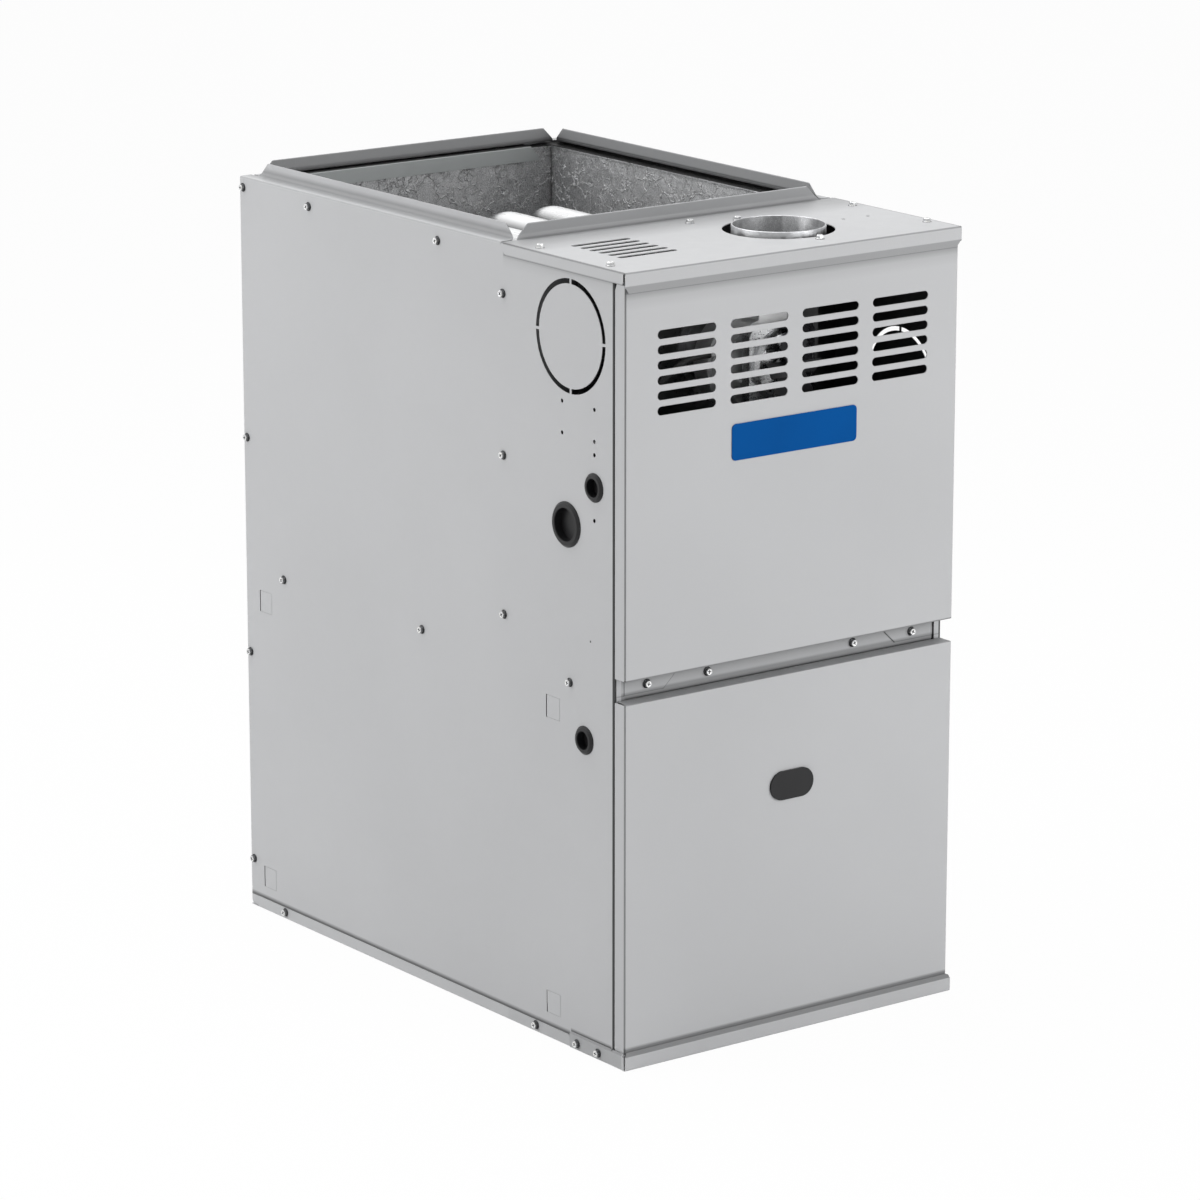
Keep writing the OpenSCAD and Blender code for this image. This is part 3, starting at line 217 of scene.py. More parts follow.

# Painted shade in the folds, gaps and corners of the sheets, where shade falls. Each mark is how much it darkens,
# then where it lies, in millimetres: to the side of the middle, behind the door faces, above the floor. Two numbers:
# none at the first, full at the second; four: none, full, full, none. A mark below nought brightens, as painted
# light.
TOP_SHEET = (854.8, 855.2, 856.4, 858.0)
SIDE_FACE = (221.8, 222.0, 222.6, 222.8)
DUCT_HEIGHT = (855.6, 856.6, 871.0, 871.3)
RAIL = (18.8, 18.9, 26.0, 30.0)
CASING_MARKS = [
    # gap between the casing's front corner and the doors' returns
    (0.92, (218.6, 219.0), (18.5, 18.8, 20.8, 21.6), (16.5, 17.5, 842.2, 842.8)),
    # inner faces of the side sheets and the walls of their holes
    (0.92, (218.9, 219.1, 221.8, 222.0), (21.5, 22.5, 716, 717), (3, 4, 852.4, 853.2)),
    # bends of the top sheet and of the side sheets
    (0.38, None, (-0.6, -1.2), (854.2, 854.6)),
    (0.38, (222.0, 222.5), (-2, -1.5, 212, 212.3), (854.0, 854.5)),
    (0.22, (220.6, 221.1), (212, 212.6), (854.2, 854.7)),
    # slanted edge of the lip, and the gap at its ends
    (0.36, None, (1.0, 0.5), (832, 832.1, 841.5, 842.1)),
    (0.95, (222.0, 222.3), (0.4, 0.5, 1.35, 1.6), (834, 835, 853.6, 854)),
    # under and behind the flanges over the side sheets
    (0.10, SIDE_FACE, (1, 2, 212, 214), (829, 842)),
    (0.18, SIDE_FACE, (1, 2, 212, 214), (839, 842)),
    (0.34, SIDE_FACE, (1, 2, 212, 213), (841.6, 842.1, 843.3, 843.6)),
    (0.30, (223.2, 223.4), (1, 2, 206, 210), (844.2, 843.6)),
    (0.34, SIDE_FACE, (211.6, 212.0, 213.0, 213.6), (846, 848, 854, 855)),
    # top sheet before the front duct flange, and the strips beside the duct
    (0.31, None, (145, 187, 217.4, 217.6), TOP_SHEET),
    (0.16, None, (186, 217, 217.4, 217.6), TOP_SHEET),
    (0.32, (204.2, 204.5, 212, 221), (217.4, 218), (854.8, 855.2, 857, 859)),
    # duct flanges: painted shade on their faces, deepest on the side flanges' inner faces; on the outer sides only
    # near the foot
    (0.37, (204.3, 204.2), (210.6, 211.2, 217.3, 217.5), DUCT_HEIGHT),
    (0.16, (204.3, 204.2), (210.6, 211.2, 217.3, 217.5), (855.4, 855.8, 857.2, 858.4)),
    (0.38, (204.4, 204.3), (699, 700), DUCT_HEIGHT),
    (0.61, (203.8, 204.1, 204.6, 204.7), (217.6, 218, 703, 704), DUCT_HEIGHT),
    (0.37, (204.7, 204.8, 211, 213), (217.4, 218, 703, 704), (856, 857.5, 862.0, 867.5)),
    # sill: leaning lip, arms and lower edges
    (0.64, None, (0.6, 0.2), (15.0, 15.6, 20, 21)),
    (-0.22, None, (-3.0, -3.6), (0.6, 1.4, 14.8, 15.2)),
    (-0.14, (224.2, 224.4), (-6, -5, 94, 95), (0.6, 1.4, 15.5, 16.2)),
    (0.26, (222.6, 222.8), (1, 3, 93, 94), (16.0, 16.5, 19, 20)),
    (0.30, None, (-3.2, -3.8), (1.5, 0.7)),
    # above the flanges of the base and the arms of the sill
    (0.78, SIDE_FACE, (96, 97), (12.5, 13, 14.9, 18.8)),
    (0.72, SIDE_FACE, (22, 23, 94.5, 95), (16, 17, 18.6, 22.0)),
    # rail between the doors
    (0.12, (212.6, 212.4), RAIL, (396, 397, 440, 441)),
    (0.22, (212.6, 212.4), RAIL, (409, 417.5, 440, 441)),
    (0.22, (212.6, 212.4), RAIL, (416.6, 418.8, 440, 441)),
    (0.34, (212.6, 212.4), RAIL, (396, 397, 405.4, 407.6)),
    (0.30, (212.6, 212.4), RAIL, (396, 397, 400.0, 402.4)),
    (0.30, (155, 156.5, 220, 221), (18.8, 18.9, 21, 22), (402.8, 403.4, 404.4, 404.9)),
    (0.30, (207.6, 208.0, 210.0, 210.4), (18.8, 18.9, 21, 22), (403, 404, 438, 439)),
    # pilot hole below the upper door, not cut: painted as a dark dot of shade
    (0.90, SIDE_FACE, (58.2, 58.6, 60.4, 60.8), (454.7, 455.1, 456.9, 457.3)),
]
DOOR_MARKS = [
    # upright bends
    (0.58, (219.6, 220.1), (0.1, 0.3, 1.9, 2.6), None),
    # under the top sheet's lip, and behind it
    (0.20, None, (1.4, 1.0), (815, 833.5)),
    (0.30, None, (1.4, 1.0), (826, 833.5)),
    (0.40, None, (1.6, 1.2), (832.8, 833.6)),
    (0.97, None, None, (841.5, 842.5)),
    # lower edge of the upper door, shelf of the lower one, and its lower edge
    (0.58, None, (3, 2), (424.0, 424.2, 425.5, 426.3)),
    (0.30, None, None, (398.9, 399.1, 401, 402)),
    (0.22, None, (4, 17), (398.9, 399.1, 401, 402)),
    (0.62, None, (2.6, 2.2), (25.0, 22.0)),
]
# Slanted edge of the brackets on the rail, along which a line of shade is painted: two lines in (side, height)
BRACKET_LINES = [((0.857, 0.516), (130.5, 438)), ((0.684, 0.729), (143.5, 416.4))]


def marked(f, marks, bracket):
    """What the marks leave of the light, from 1 down."""
    places = [f.axis("X").abs() / MM, f.behind(), f.mm("Z")]
    left = None
    for depth, *where in marks:
        mask = depth
        for place, span in zip(places, where):
            if span:
                mask = f.step(place, span[0], span[1]) * mask
            if span and len(span) == 4:
                mask = f.step(place, span[3], span[2]) * mask
        left = 1.0 - mask if left is None else left * (1.0 - mask)
    # painted shade along the slanted edges of the rail's brackets
    if bracket:
        side, back, up = places
        lines = [(side - x) * u + (up - z) * v for (u, v), (x, z) in BRACKET_LINES]
        near = f.step((lines[0].least(lines[1]) - 0.1).abs(), 0.9, 0.4)
        near = near * f.step(back, 21.5, 21.0) * f.step(side, 129, 130)
        left = left * (1.0 - near * f.step(up, 403.2, 403.8) * 0.45)
    return left


def powder_paint(name, colour, marks, bracket=False):
    """Grey powder paint on folded sheet: fine orange peel, faint cloudiness, a little dust of pale specks, and the
    marks' painted shade and light.
    """
    f = Finish(name)
    cloud = f.noise(3.0, 2.0)
    speck = f.noise(900.0, 1.0)
    shade = f.step(cloud, 0.35, 0.65, 0.0, 1.0)
    low = tuple(c * 0.975 for c in colour)
    high = tuple(min(1.0, c * 1.02) for c in colour)
    body = f.between(shade, low, high)
    body = f.between(f.step(speck, 0.62, 0.78, 0.0, 0.10), body, (0.85, 0.86, 0.88))
    # painted shade and light from the marks
    body = f.between(marked(f, marks, bracket), (0.0, 0.001, 0.001), body)
    peel = f.noise(520.0, 2.0)
    rough = f.step(f.noise(60.0, 3.0), 0.3, 0.7, 0.40, 0.48)
    return f.surface(base_color=body, roughness=rough, specular=0.5, normal=f.bump(peel, 0.00006, 0.45))


def galvanised_sheet(name, colour, rough_low=0.26, rough_high=0.46, spangle=220.0):
    """Zinc coated sheet: angular spangle with each crystal a little lighter or duller than the next."""
    f = Finish(name)
    crystal = f.cells(spangle, out="Color")
    grey = f.node("ShaderNodeSeparateColor", None, {"Color": crystal})
    drift = f.noise(9.0, 3.0)
    shade = (grey * 0.75 + drift * 0.5).clamp()
    low = tuple(c * 0.86 for c in colour)
    high = tuple(min(1.0, c * 1.06) for c in colour)
    body = f.between(shade, low, high)
    rough = f.step(shade, 0.1, 0.9, rough_low, rough_high)
    # the strip behind the supply opening is a duller, even sheet
    strip = (f.axis("Y") > STRIP_Y) * (f.axis("Z") > STRIP_Z)
    body = f.between(strip, body, (0.37, 0.39, 0.39))
    # painted shade: black where the strip's top runs into the gap
    body = f.between(strip * f.step(f.mm("Z"), *STRIP_GAP), body, (0.004, 0.004, 0.004))
    # the inducer's housing: painted light to the left, painted shade where its right side falls in shade
    back = f.behind()
    housing = f.step(back, 68, 69) * f.step(back, 136, 135)
    housing = housing * f.step(f.axis("Z"), 0.62, 0.63) * f.step(f.axis("Z"), 0.792, 0.791)
    body = f.between(housing, body, (0.86, 0.865, 0.87))
    body = f.between(housing * f.step(f.mm("X"), HOUSING_SHADE - 3, HOUSING_SHADE + 3), body, DEEP_SHADE)
    # the vestibule panel lies in deep shade
    vestibule = f.step(back, 203.0, 203.6) * f.step(back, 207.5, 207.0)
    body = f.between(vestibule * 0.85, body, DEEP_SHADE)
    # the vent collar's inner side: painted shade, speckled
    across, along = f.mm("X") - VENT_AT[0], f.mm("Y") - VENT_AT[1]
    inner = f.step(across * across + along * along, *(r ** 2 for r in VENT_BORE))
    inner = inner * f.step(f.axis("Z"), 0.80, 0.82) * f.step(f.axis("Z"), 0.8612, 0.8608)
    body = f.between(inner * f.step(f.noise(1300.0, 2.0), 0.3, 0.7, 0.0, 0.5), body, DEEP_SHADE)
    drawn = f.noise(700.0, 2.0)
    metallic = 1.0 - strip * 0.9 - inner * 0.5 - housing * 0.5
    return f.surface(base_color=body, metallic=metallic, roughness=rough, normal=f.bump(drawn, 0.00003, 0.4))


def bright_steel(name, colour, rough_low, rough_high, stretch=(1, 1, 1), grain=1500.0):
    """Drawn or turned steel: fine lines along one direction over a soft mottling."""
    f = Finish(name)
    line = f.noise(grain, 2.0, place=f.stretched(*stretch))
    mottle = f.noise(22.0, 4.0)
    body = f.between(f.step(mottle, 0.3, 0.7), tuple(c * 0.88 for c in colour), colour)
    rough = f.step(line * 0.5 + mottle * 0.5, 0.35, 0.65, rough_low, rough_high)
    return f.surface(base_color=body, metallic=1.0, roughness=rough, normal=f.bump(line, 0.00002, 0.35))


def aluminised_tube(name, colour):
    """Bright aluminised steel. Painted shade over the tubes, deepest on the top passes' sides, and over the
    collector's left part; the top passes' tops stay bright as a painted highlight.
    """
    f = Finish(name)
    up = f.mm("Z")
    back = f.behind()
    pass_top = f.step(up, 799.0, 808.0) * f.step(back, 578.0, 556.0)
    tubes = f.step(back, 215.0, 216.0)
    line = f.noise(300.0, 2.0, place=f.stretched(1, 0.08, 1))
    mottle = f.noise(22.0, 4.0)
    bright = f.between(f.step(mottle, 0.3, 0.7), tuple(c * 0.90 for c in colour), colour)
    left = f.step(f.mm("X"), 5.0, -5.0) * (1.0 - tubes)
    # painted shade over the tubes below the top passes' tops, and over the collector's left part
    shade = (1.0 - pass_top) * f.step(up, 789.0, 790.0, 0.75, 0.92) * tubes + left * 0.82
    body = f.between(shade, bright, (0.030, 0.031, 0.033))
    rough = f.step(line * 0.5 + mottle * 0.5, 0.35, 0.65, 0.24, 0.34)
    metallic = f.step(tubes, 0.0, 1.0, 0.30, 1.0) - pass_top * tubes * 0.75
    return f.surface(base_color=body, metallic=metallic, roughness=rough, normal=f.bump(line, 0.00002, 0.35))


def crinkled_foil(name):
    """Foil facing: dull aluminium with a fine grain and a few long crooked creases that wander over it."""
    f = Finish(name)
    bend = f.node("ShaderNodeTexNoise", {"noise_dimensions": "3D"},
                  {"Vector": f.place, "Scale": 90.0, "Detail": 4.0}, out=1)
    centred = f.node("ShaderNodeVectorMath", {"operation": "SUBTRACT"}, {0: bend, 1: (0.5, 0.5, 0.5)})
    pushed = f.node("ShaderNodeVectorMath", {"operation": "SCALE"}, {0: centred, "Scale": 0.026})
    crooked = f.node("ShaderNodeVectorMath", {"operation": "ADD"}, {0: f.place, 1: pushed})
    long = f.step(f.cells(30.0, feature="DISTANCE_TO_EDGE", place=crooked), 0.0, 0.034, 1.0, 0.0)
    short = f.step(f.cells(64.0, feature="DISTANCE_TO_EDGE", place=crooked), 0.0, 0.055, 1.0, 0.0)
    crease = long * f.step(f.noise(17.0, 2.0), 0.38, 0.56) + short * f.step(f.noise(31.0, 2.0), 0.48, 0.62) * 0.45
    grain = f.noise(700.0, 3.0, 0.70)
    drift = f.noise(130.0, 4.0, 0.6)
    # the creases are painted lighter, a painted highlight along their ridges; grain and drift are the foil's own
    # mottle
    shade = (crease * 0.60 + grain * 1.90 + drift * 0.50 - 0.84).clamp()
    body = f.between(shade, (0.17, 0.173, 0.178), (0.86, 0.865, 0.875))
    # painted shade: black where the foil runs into the gap under the duct flanges
    body = f.between(f.step(f.mm("Z"), *FOIL_GAP) * 0.97, body, (0.001, 0.001, 0.001))
    height = crease * 2.4 + grain * 0.30 + drift * 0.25
    return f.surface(base_color=body, metallic=0.5, roughness=f.step(grain, 0.3, 0.7, 0.42, 0.58),
                     normal=f.bump(height, 0.0013, 0.9))


def moulded_plastic(name, colour, rough=0.42, grain=1400.0, depth=0.00004, specular=0.5):
    """Injection moulded plastic with a fine eroded grain."""
    f = Finish(name)
    skin = f.noise(grain, 2.0)
    cloud = f.noise(25.0, 2.0)
    low = tuple(c * 0.85 for c in colour)
    high = tuple(min(1.0, c * 1.15) for c in colour)
    body = f.between(f.step(cloud, 0.35, 0.65), low, high)
    return f.surface(base_color=body, roughness=f.step(skin, 0.3, 0.7, rough - 0.06, rough + 0.08), specular=specular,
                     normal=f.bump(skin, depth, 0.5))


def zinc_plating(name):
    """Bright zinc with a faint yellow-blue drift; tone, from screw_head, paints shade on washer, sides and recess."""
    f = Finish(name)
    drift = f.noise(260.0, 2.0)
    head = f.between(f.step(drift, 0.35, 0.65), (0.70, 0.71, 0.73), (0.84, 0.84, 0.82))
    tone = f.node("ShaderNodeAttribute", {"attribute_name": "tone"}, out="Fac")
    # painted light: the screws on the top sheet have light all round them, so they are painted lighter
    tone = (tone + f.step(f.axis("Z"), *TOP_SCREWS, 0.0, 0.5)).clamp()
    body = f.between(tone, (0.045, 0.046, 0.048), head)
    return f.surface(base_color=body, metallic=1.0, roughness=f.step(f.noise(900.0), 0.3, 0.7, 0.22, 0.40),
                     normal=f.bump(f.noise(1800.0), 0.00003, 0.4))


def badge_film(name):
    """Bare blue plate, faintly clouded and with a very fine film texture."""
    f = Finish(name)
    drift = f.noise(14.0, 2.0)
    body = f.between(f.step(drift, 0.3, 0.7), (0.001, 0.076, 0.290), (0.001, 0.084, 0.320))
    return f.surface(base_color=body, roughness=f.step(f.noise(300.0), 0.3, 0.7, 0.40, 0.48), specular=0.03,
                     normal=f.bump(f.noise(1200.0), 0.00002, 0.2))


def motor_cap(name, colour):
    """Spun steel cap of the inducer's motor: bright steel towards the left, painted shade towards the right."""
    f = Finish(name)
    line = f.cells(400.0)
    # painted shade towards the right, from 2 to 16 mm in X
    side = f.step(f.mm("X"), 2.0, 16.0)
    body = f.between(side, colour, (0.020, 0.020, 0.022))
    return f.surface(base_color=body, metallic=1.0, roughness=f.step(line, 0.2, 0.6, 0.22, 0.36),
                     normal=f.bump(line, 0.00002, 0.35))


def cast_metal(name, colour, rough=0.5, grain=420.0, metallic=1.0):
    """Die-cast or cast skin: fine grain with shallow pits."""
    f = Finish(name)
    skin = f.noise(grain, 4.0, 0.6)
    pits = f.step(f.cells(grain * 0.8), 0.0, 0.25)
    body = f.between(f.step(skin, 0.3, 0.7), tuple(c * 0.8 for c in colour), colour)
    return f.surface(base_color=body, metallic=metallic, roughness=f.step(skin, 0.3, 0.7, rough - 0.08, rough + 0.08),
                     normal=f.bump(skin * 0.6 + pits * 0.4, 0.0002, 0.5))


def circuit_board(name):
    """Green board with paler traces and pale pads."""
    f = Finish(name)
    trace = f.node("ShaderNodeTexBrick", {"offset": 0.5}, {
        "Vector": f.stretched(1, 1, 1), "Scale": 160.0, "Mortar Size": 0.03,
        "Color1": (0.010, 0.10, 0.035, 1), "Color2": (0.012, 0.13, 0.045, 1), "Mortar": (0.05, 0.30, 0.12, 1)})
    speck = f.step(f.cells(420.0), 0.05, 0.12, 1.0, 0.0)
    body = f.between(speck * 0.5, trace, (0.60, 0.60, 0.55))
    return f.surface(base_color=body, roughness=f.step(f.noise(300.0), 0.3, 0.7, 0.26, 0.40), specular=0.5,
                     normal=f.bump(speck, 0.0002, 0.5))


def enamelled_shell(name, colour):
    """Dark enamel over a rolled motor shell, with long faint drawing lines."""
    f = Finish(name)
    line = f.noise(500.0, 2.0, place=f.stretched(0.1, 1, 1))
    worn = f.step(f.noise(40.0, 5.0, 0.65), 0.62, 0.75, 0.0, 0.35)
    body = f.between(worn, colour, (0.25, 0.25, 0.26))
    return f.surface(base_color=body, roughness=f.step(line, 0.3, 0.7, 0.34, 0.46), specular=0.5,
                     normal=f.bump(line, 0.00008, 0.5))


PAINT = (0.500, 0.505, 0.515)
finishes = {
    "casing_paint": powder_paint("casing_paint", PAINT, CASING_MARKS, True),
    "door_paint": powder_paint("door_paint", PAINT, DOOR_MARKS),
    "galvanised": galvanised_sheet("galvanised", (0.50, 0.505, 0.515)),
    "aluminised": aluminised_tube("aluminised", (0.86, 0.865, 0.87)),
    "foil_insulation": crinkled_foil("foil_insulation"),
    "badge_blue": badge_film("badge_blue"),
    "black_plastic": moulded_plastic("black_plastic", (0.009, 0.009, 0.010), 0.36, specular=0.32),
    "zinc_plate": zinc_plating("zinc_plate"),
    "motor_steel": motor_cap("motor_steel", (0.62, 0.63, 0.64)),
    "shaft_steel": bright_steel("shaft_steel", (0.62, 0.62, 0.62), 0.15, 0.28, (1, 1, 8)),
    "wheel_steel": galvanised_sheet("wheel_steel", (0.60, 0.61, 0.62), 0.30, 0.50, 300.0),
    "dark_plastic": moulded_plastic("dark_plastic", (0.035, 0.035, 0.038), 0.45),
    "black_rubber": moulded_plastic("black_rubber", (0.020, 0.020, 0.020), 0.62, 900.0, 0.00008),
    "burner_steel": bright_steel("burner_steel", (0.52, 0.53, 0.56), 0.30, 0.48, (1, 0.2, 1), 700.0),
    "black_pipe": cast_metal("black_pipe", (0.030, 0.030, 0.032), 0.48, 380.0, 0.0),
    "orifice_brass": bright_steel("orifice_brass", (0.78, 0.56, 0.24), 0.20, 0.34, (1, 6, 1)),
    "valve_casting": cast_metal("valve_casting", (0.62, 0.63, 0.64), 0.44),
    "red_plastic": moulded_plastic("red_plastic", (0.55, 0.020, 0.015), 0.34),
    "ceramic": moulded_plastic("ceramic", (0.78, 0.76, 0.70), 0.60, 800.0, 0.00006),
    "board_green": circuit_board("board_green"),
    "transformer_iron": enamelled_shell("transformer_iron", (0.050, 0.050, 0.055)),
    "white_plastic": moulded_plastic("white_plastic", (0.76, 0.76, 0.74), 0.40),
    "motor_shell": enamelled_shell("motor_shell", (0.030, 0.030, 0.033)),
    "bracket_steel": bright_steel("bracket_steel", (0.52, 0.53, 0.54), 0.28, 0.46),
    "capacitor_can": bright_steel("capacitor_can", (0.74, 0.75, 0.76), 0.22, 0.38, (1, 1, 0.1)),
}

slot_of = {row["node"]: row["material_slot"] for row in frame["record"]["subparts"]}


def dress(piece, slot):
    piece.data.materials.clear()
    piece.data.materials.append(finishes[slot])


for node, piece in frame["nodes"].items():
    dress(piece, slot_of[node])

# ---------------------------------------------------------------- pieces


def link(mesh, name):
    piece = bpy.data.objects.new(name, mesh)
    bpy.context.scene.collection.objects.link(piece)
    return piece


def smooth_copy(node, body, angle=32.0):
    """A welded copy of a CAD node, so that its round faces shade as round."""
    mesh = frame["nodes"][node].data.copy()
    mesh.name = node + "_smooth"
    b = bmesh.new()
    b.from_mesh(mesh)
    bmesh.ops.remove_doubles(b, verts=b.verts, dist=WELD)
    for face in b.faces:
        face.smooth = True
    limit = math.radians(angle)
    for edge in b.edges:
        edge.smooth = len(edge.link_faces) == 2 and edge.calc_face_angle(0.0) < limit
    b.to_mesh(mesh)
    b.free()
    piece = link(mesh, node + "_smooth")
    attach(piece, body)
    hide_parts(node)
    return piece


ROUND_NODES = ("heat_tube_1", "heat_tube_2", "heat_tube_3", "heat_tube_4", "vent_collar", "inducer_housing",
               "inducer_motor", "hole_plugs", "gas_grommet", "gas_manifold", "pressure_hose", "wire_harness")


def islands(node):
    """The separate solids of a node, each as a list of its corner points, in a fixed order."""
    b = bmesh.new()
    b.from_mesh(frame["nodes"][node].data)
    bmesh.ops.remove_doubles(b, verts=b.verts, dist=WELD)
    left, found = set(b.verts), []
    while left:
        queue, part = [left.pop()], []
        while queue:
            vertex = queue.pop()
            part.append(vertex.co.copy())
            for edge in vertex.link_edges:
                other = edge.other_vert(vertex)
                if other in left:
                    left.remove(other)
                    queue.append(other)
        found.append(part)
    b.free()
    return sorted(found, key=lambda part: tuple(round(min(p[i] for p in part), 5) for i in range(3)))


# Hex washer head screw, in millimetres from the sheet it sits on
WASHER_PROFILE = [(5.0, 0.0), (5.0, 0.55), (4.6, 0.95), (3.6, 1.25)]
WASHER_SIDES = 20
HEX_RADIUS, HEX_SHOULDER, HEX_TOP, TOP_RADIUS = 4.0, 3.55, 4.2, 3.35
CROSS_REACH, CROSS_HALF, CROSS_DEPTH = 2.3, 0.5, 1.3


def ring(b, points):
    return [b.verts.new(Vector(p) * MM) for p in points]


def join_rings(b, lower, upper):
    count = len(lower)
    return [b.faces.new((lower[i], lower[(i + 1) % count], upper[(i + 1) % count], upper[i])) for i in range(count)]


def on_circle(radius, z, count, start=0.0):
    return [(radius * math.cos(start + math.tau * i / count), radius * math.sin(start + math.tau * i / count), z)
            for i in range(count)]


def hexagon(radius, z):
    """Twelve points: the corners at 15 degrees and every 60, with the middles of the sides between them."""
    flat = radius * math.cos(math.pi / 6)
    return [((radius, flat)[i % 2] * math.cos(math.radians(15 + 30 * i)),
             (radius, flat)[i % 2] * math.sin(math.radians(15 + 30 * i)), z) for i in range(12)]


def cross(z, share):
    reach, half = CROSS_REACH * share, CROSS_HALF * share
    quarter = [(reach, half), (half, half), (half, reach)]
    points = []
    for k in range(4):
        c, s = round(math.cos(k * math.pi / 2)), round(math.sin(k * math.pi / 2))
        points += [(c * x - s * y, s * x + c * y, z) for x, y in quarter]
    return points


def screw_head():
    """One head: a washer with a rounded rim and a chamfered hexagon with a cross recess."""
    b = bmesh.new()
    tone = b.faces.layers.float.new("tone")
    rims = [ring(b, on_circle(r, z, WASHER_SIDES)) for r, z in WASHER_PROFILE]
    b.faces.new(rims[0][::-1])
    for lower, upper in zip(rims, rims[1:]):
        for face in join_rings(b, lower, upper):
            face.smooth = True
    b.faces.new(rims[-1])
    foot = ring(b, hexagon(HEX_RADIUS, 0.6))
    shoulder = ring(b, hexagon(HEX_RADIUS, HEX_SHOULDER))
    top = ring(b, on_circle(TOP_RADIUS, HEX_TOP, 12, math.radians(15)))
    mouth = ring(b, cross(HEX_TOP - 0.1, 1.0))
    floor = ring(b, cross(HEX_TOP - CROSS_DEPTH, 0.6))
    b.faces.new(foot[::-1])
    # painted shading: washer and recess dark, the hexagon's sides darker towards the foot, its top light
    bands = ((foot, shoulder, 0.25), (shoulder, top, 0.6), (top, mouth, 1.0), (mouth, floor, 0.0))
    for lower, upper, shade in bands:
        for face in join_rings(b, lower, upper):
            face[tone] = shade
    b.faces.new(floor)
    bmesh.ops.recalc_face_normals(b, faces=b.faces)
    mesh = bpy.data.meshes.new("screw_head")
    b.to_mesh(mesh)
    b.free()
    return link(mesh, "screw_head")


def screw_tree():
    """Node tree: the head on every point, along the point's facing, each turned at random."""
    tree = bpy.data.node_groups.new("screws_on_points", "GeometryNodeTree")
    sockets = (("Points", "Geometry"), ("Head", "Object"), ("Finish", "Material"), ("Turn", "Float"), ("Seed", "Int"))
    for name, kind in sockets:
        tree.interface.new_socket(name, in_out="INPUT", socket_type="NodeSocket" + kind)
    tree.interface.new_socket("Screws", in_out="OUTPUT", socket_type="NodeSocketGeometry")

    def node(kind, settings=(), **inputs):
        made = tree.nodes.new(kind)
        for key, value in dict(settings).items():
            setattr(made, key, value)
        for key, value in inputs.items():
            socket = next(s for s in made.inputs if s.name == key.replace("_", " ") and s.enabled)
            if isinstance(value, bpy.types.NodeSocket):
                tree.links.new(value, socket)
            else:
                socket.default_value = value
        return made

    given = node("NodeGroupInput").outputs
    head = node("GeometryNodeObjectInfo", Object=given["Head"], As_Instance=True)
    facing = node("GeometryNodeInputNamedAttribute", {"data_type": "FLOAT_VECTOR"}, Name="facing")
    aim = node("FunctionNodeAlignRotationToVector", {"axis": "Z"}, Vector=facing.outputs[0])
    chance = node("FunctionNodeRandomValue", {"data_type": "FLOAT"}, Min=0.0, Max=given["Turn"], Seed=given["Seed"])
    spin = node("FunctionNodeAxisAngleToRotation", Axis=(0.0, 0.0, 1.0), Angle=chance.outputs[1])
    turned = node("FunctionNodeRotateRotation", {"rotation_space": "LOCAL"},
                  Rotation=aim.outputs[0], Rotate_By=spin.outputs[0])
    placed = node("GeometryNodeInstanceOnPoints", Points=given["Points"], Instance=head.outputs["Geometry"],
                  Rotation=turned.outputs[0])
    real = node("GeometryNodeRealizeInstances", Geometry=placed.outputs[0])
    dressed = node("GeometryNodeSetMaterial", Geometry=real.outputs[0], Material=given["Finish"])
    node("NodeGroupOutput", Screws=dressed.outputs[0])
    return tree


def screw_places(node):
    """Foot and facing of each screw of the node: its thinnest way, from the washer towards the hexagon."""
    places = []
    for part in islands(node):
        low = [min(p[i] for p in part) for i in range(3)]
        high = [max(p[i] for p in part) for i in range(3)]
        axis = min(range(3), key=lambda i: high[i] - low[i])
        mean = sum(p[axis] for p in part) / len(part)
        out = 1.0 if mean < (low[axis] + high[axis]) / 2 else -1.0
        foot = Vector((a + b) / 2 for a, b in zip(low, high))
        foot[axis] = low[axis] if out > 0 else high[axis]
        facing = Vector((0, 0, 0))
        facing[axis] = out
        places.append((foot, facing))
    return places


def cabinet_screw_heads():
    places = screw_places("cabinet_screws")
    points = bpy.data.meshes.new("screw_points")
    points.from_pydata([foot for foot, facing in places], [], [])
    points.attributes.new("facing", "FLOAT_VECTOR", "POINT").data.foreach_set(
        "vector", [c for foot, facing in places for c in facing])
    piece, head = link(points, "screw_heads"), screw_head()
    maker = piece.modifiers.new("screws", "NODES")
    maker.node_group = screw_tree()
    given = {"Head": head, "Finish": finishes["zinc_plate"], "Turn": math.tau, "Seed": 7}
    for item in maker.node_group.interface.items_tree:
        if item.name in given:
            maker[item.identifier] = given[item.name]
    seen = bpy.context.evaluated_depsgraph_get()
    piece.data = bpy.data.meshes.new_from_object(
        piece.evaluated_get(seen), preserve_all_data_layers=True, depsgraph=seen)
    piece.modifiers.clear()
    bpy.data.objects.remove(head)
    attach(piece, "furnace")
    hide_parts("cabinet_screws")


cabinet_screw_heads()

for round_node in ROUND_NODES:
    smooth_copy(round_node, "furnace")

# Foil facing: crumpled sheet on the inner face of each insulation board
FOIL_PITCH = 3.0 * MM
FOIL_DEPTH = 3.4 * MM
FOIL_SEED = 5
# Without a seed the noise vectors are drawn from the clock, and the foil differs from run to run
noise.seed_set(FOIL_SEED)


def crumple(place):
    """0 to 1: soft swells with a few crooked ridges, as foil lies on a wool board."""
    swell = noise.fractal(place / (42 * MM), 1.0, 2.1, 4)
    crooked = place + noise.noise_vector(place / (16 * MM)) * (9 * MM)
    cell = noise.voronoi(crooked / (44 * MM))[0]
    ridge = max(0.0, 1.0 - (cell[1] - cell[0]) / 0.14)
    return min(1.0, max(0.0, 0.50 + 0.16 * swell - 0.16 * ridge))


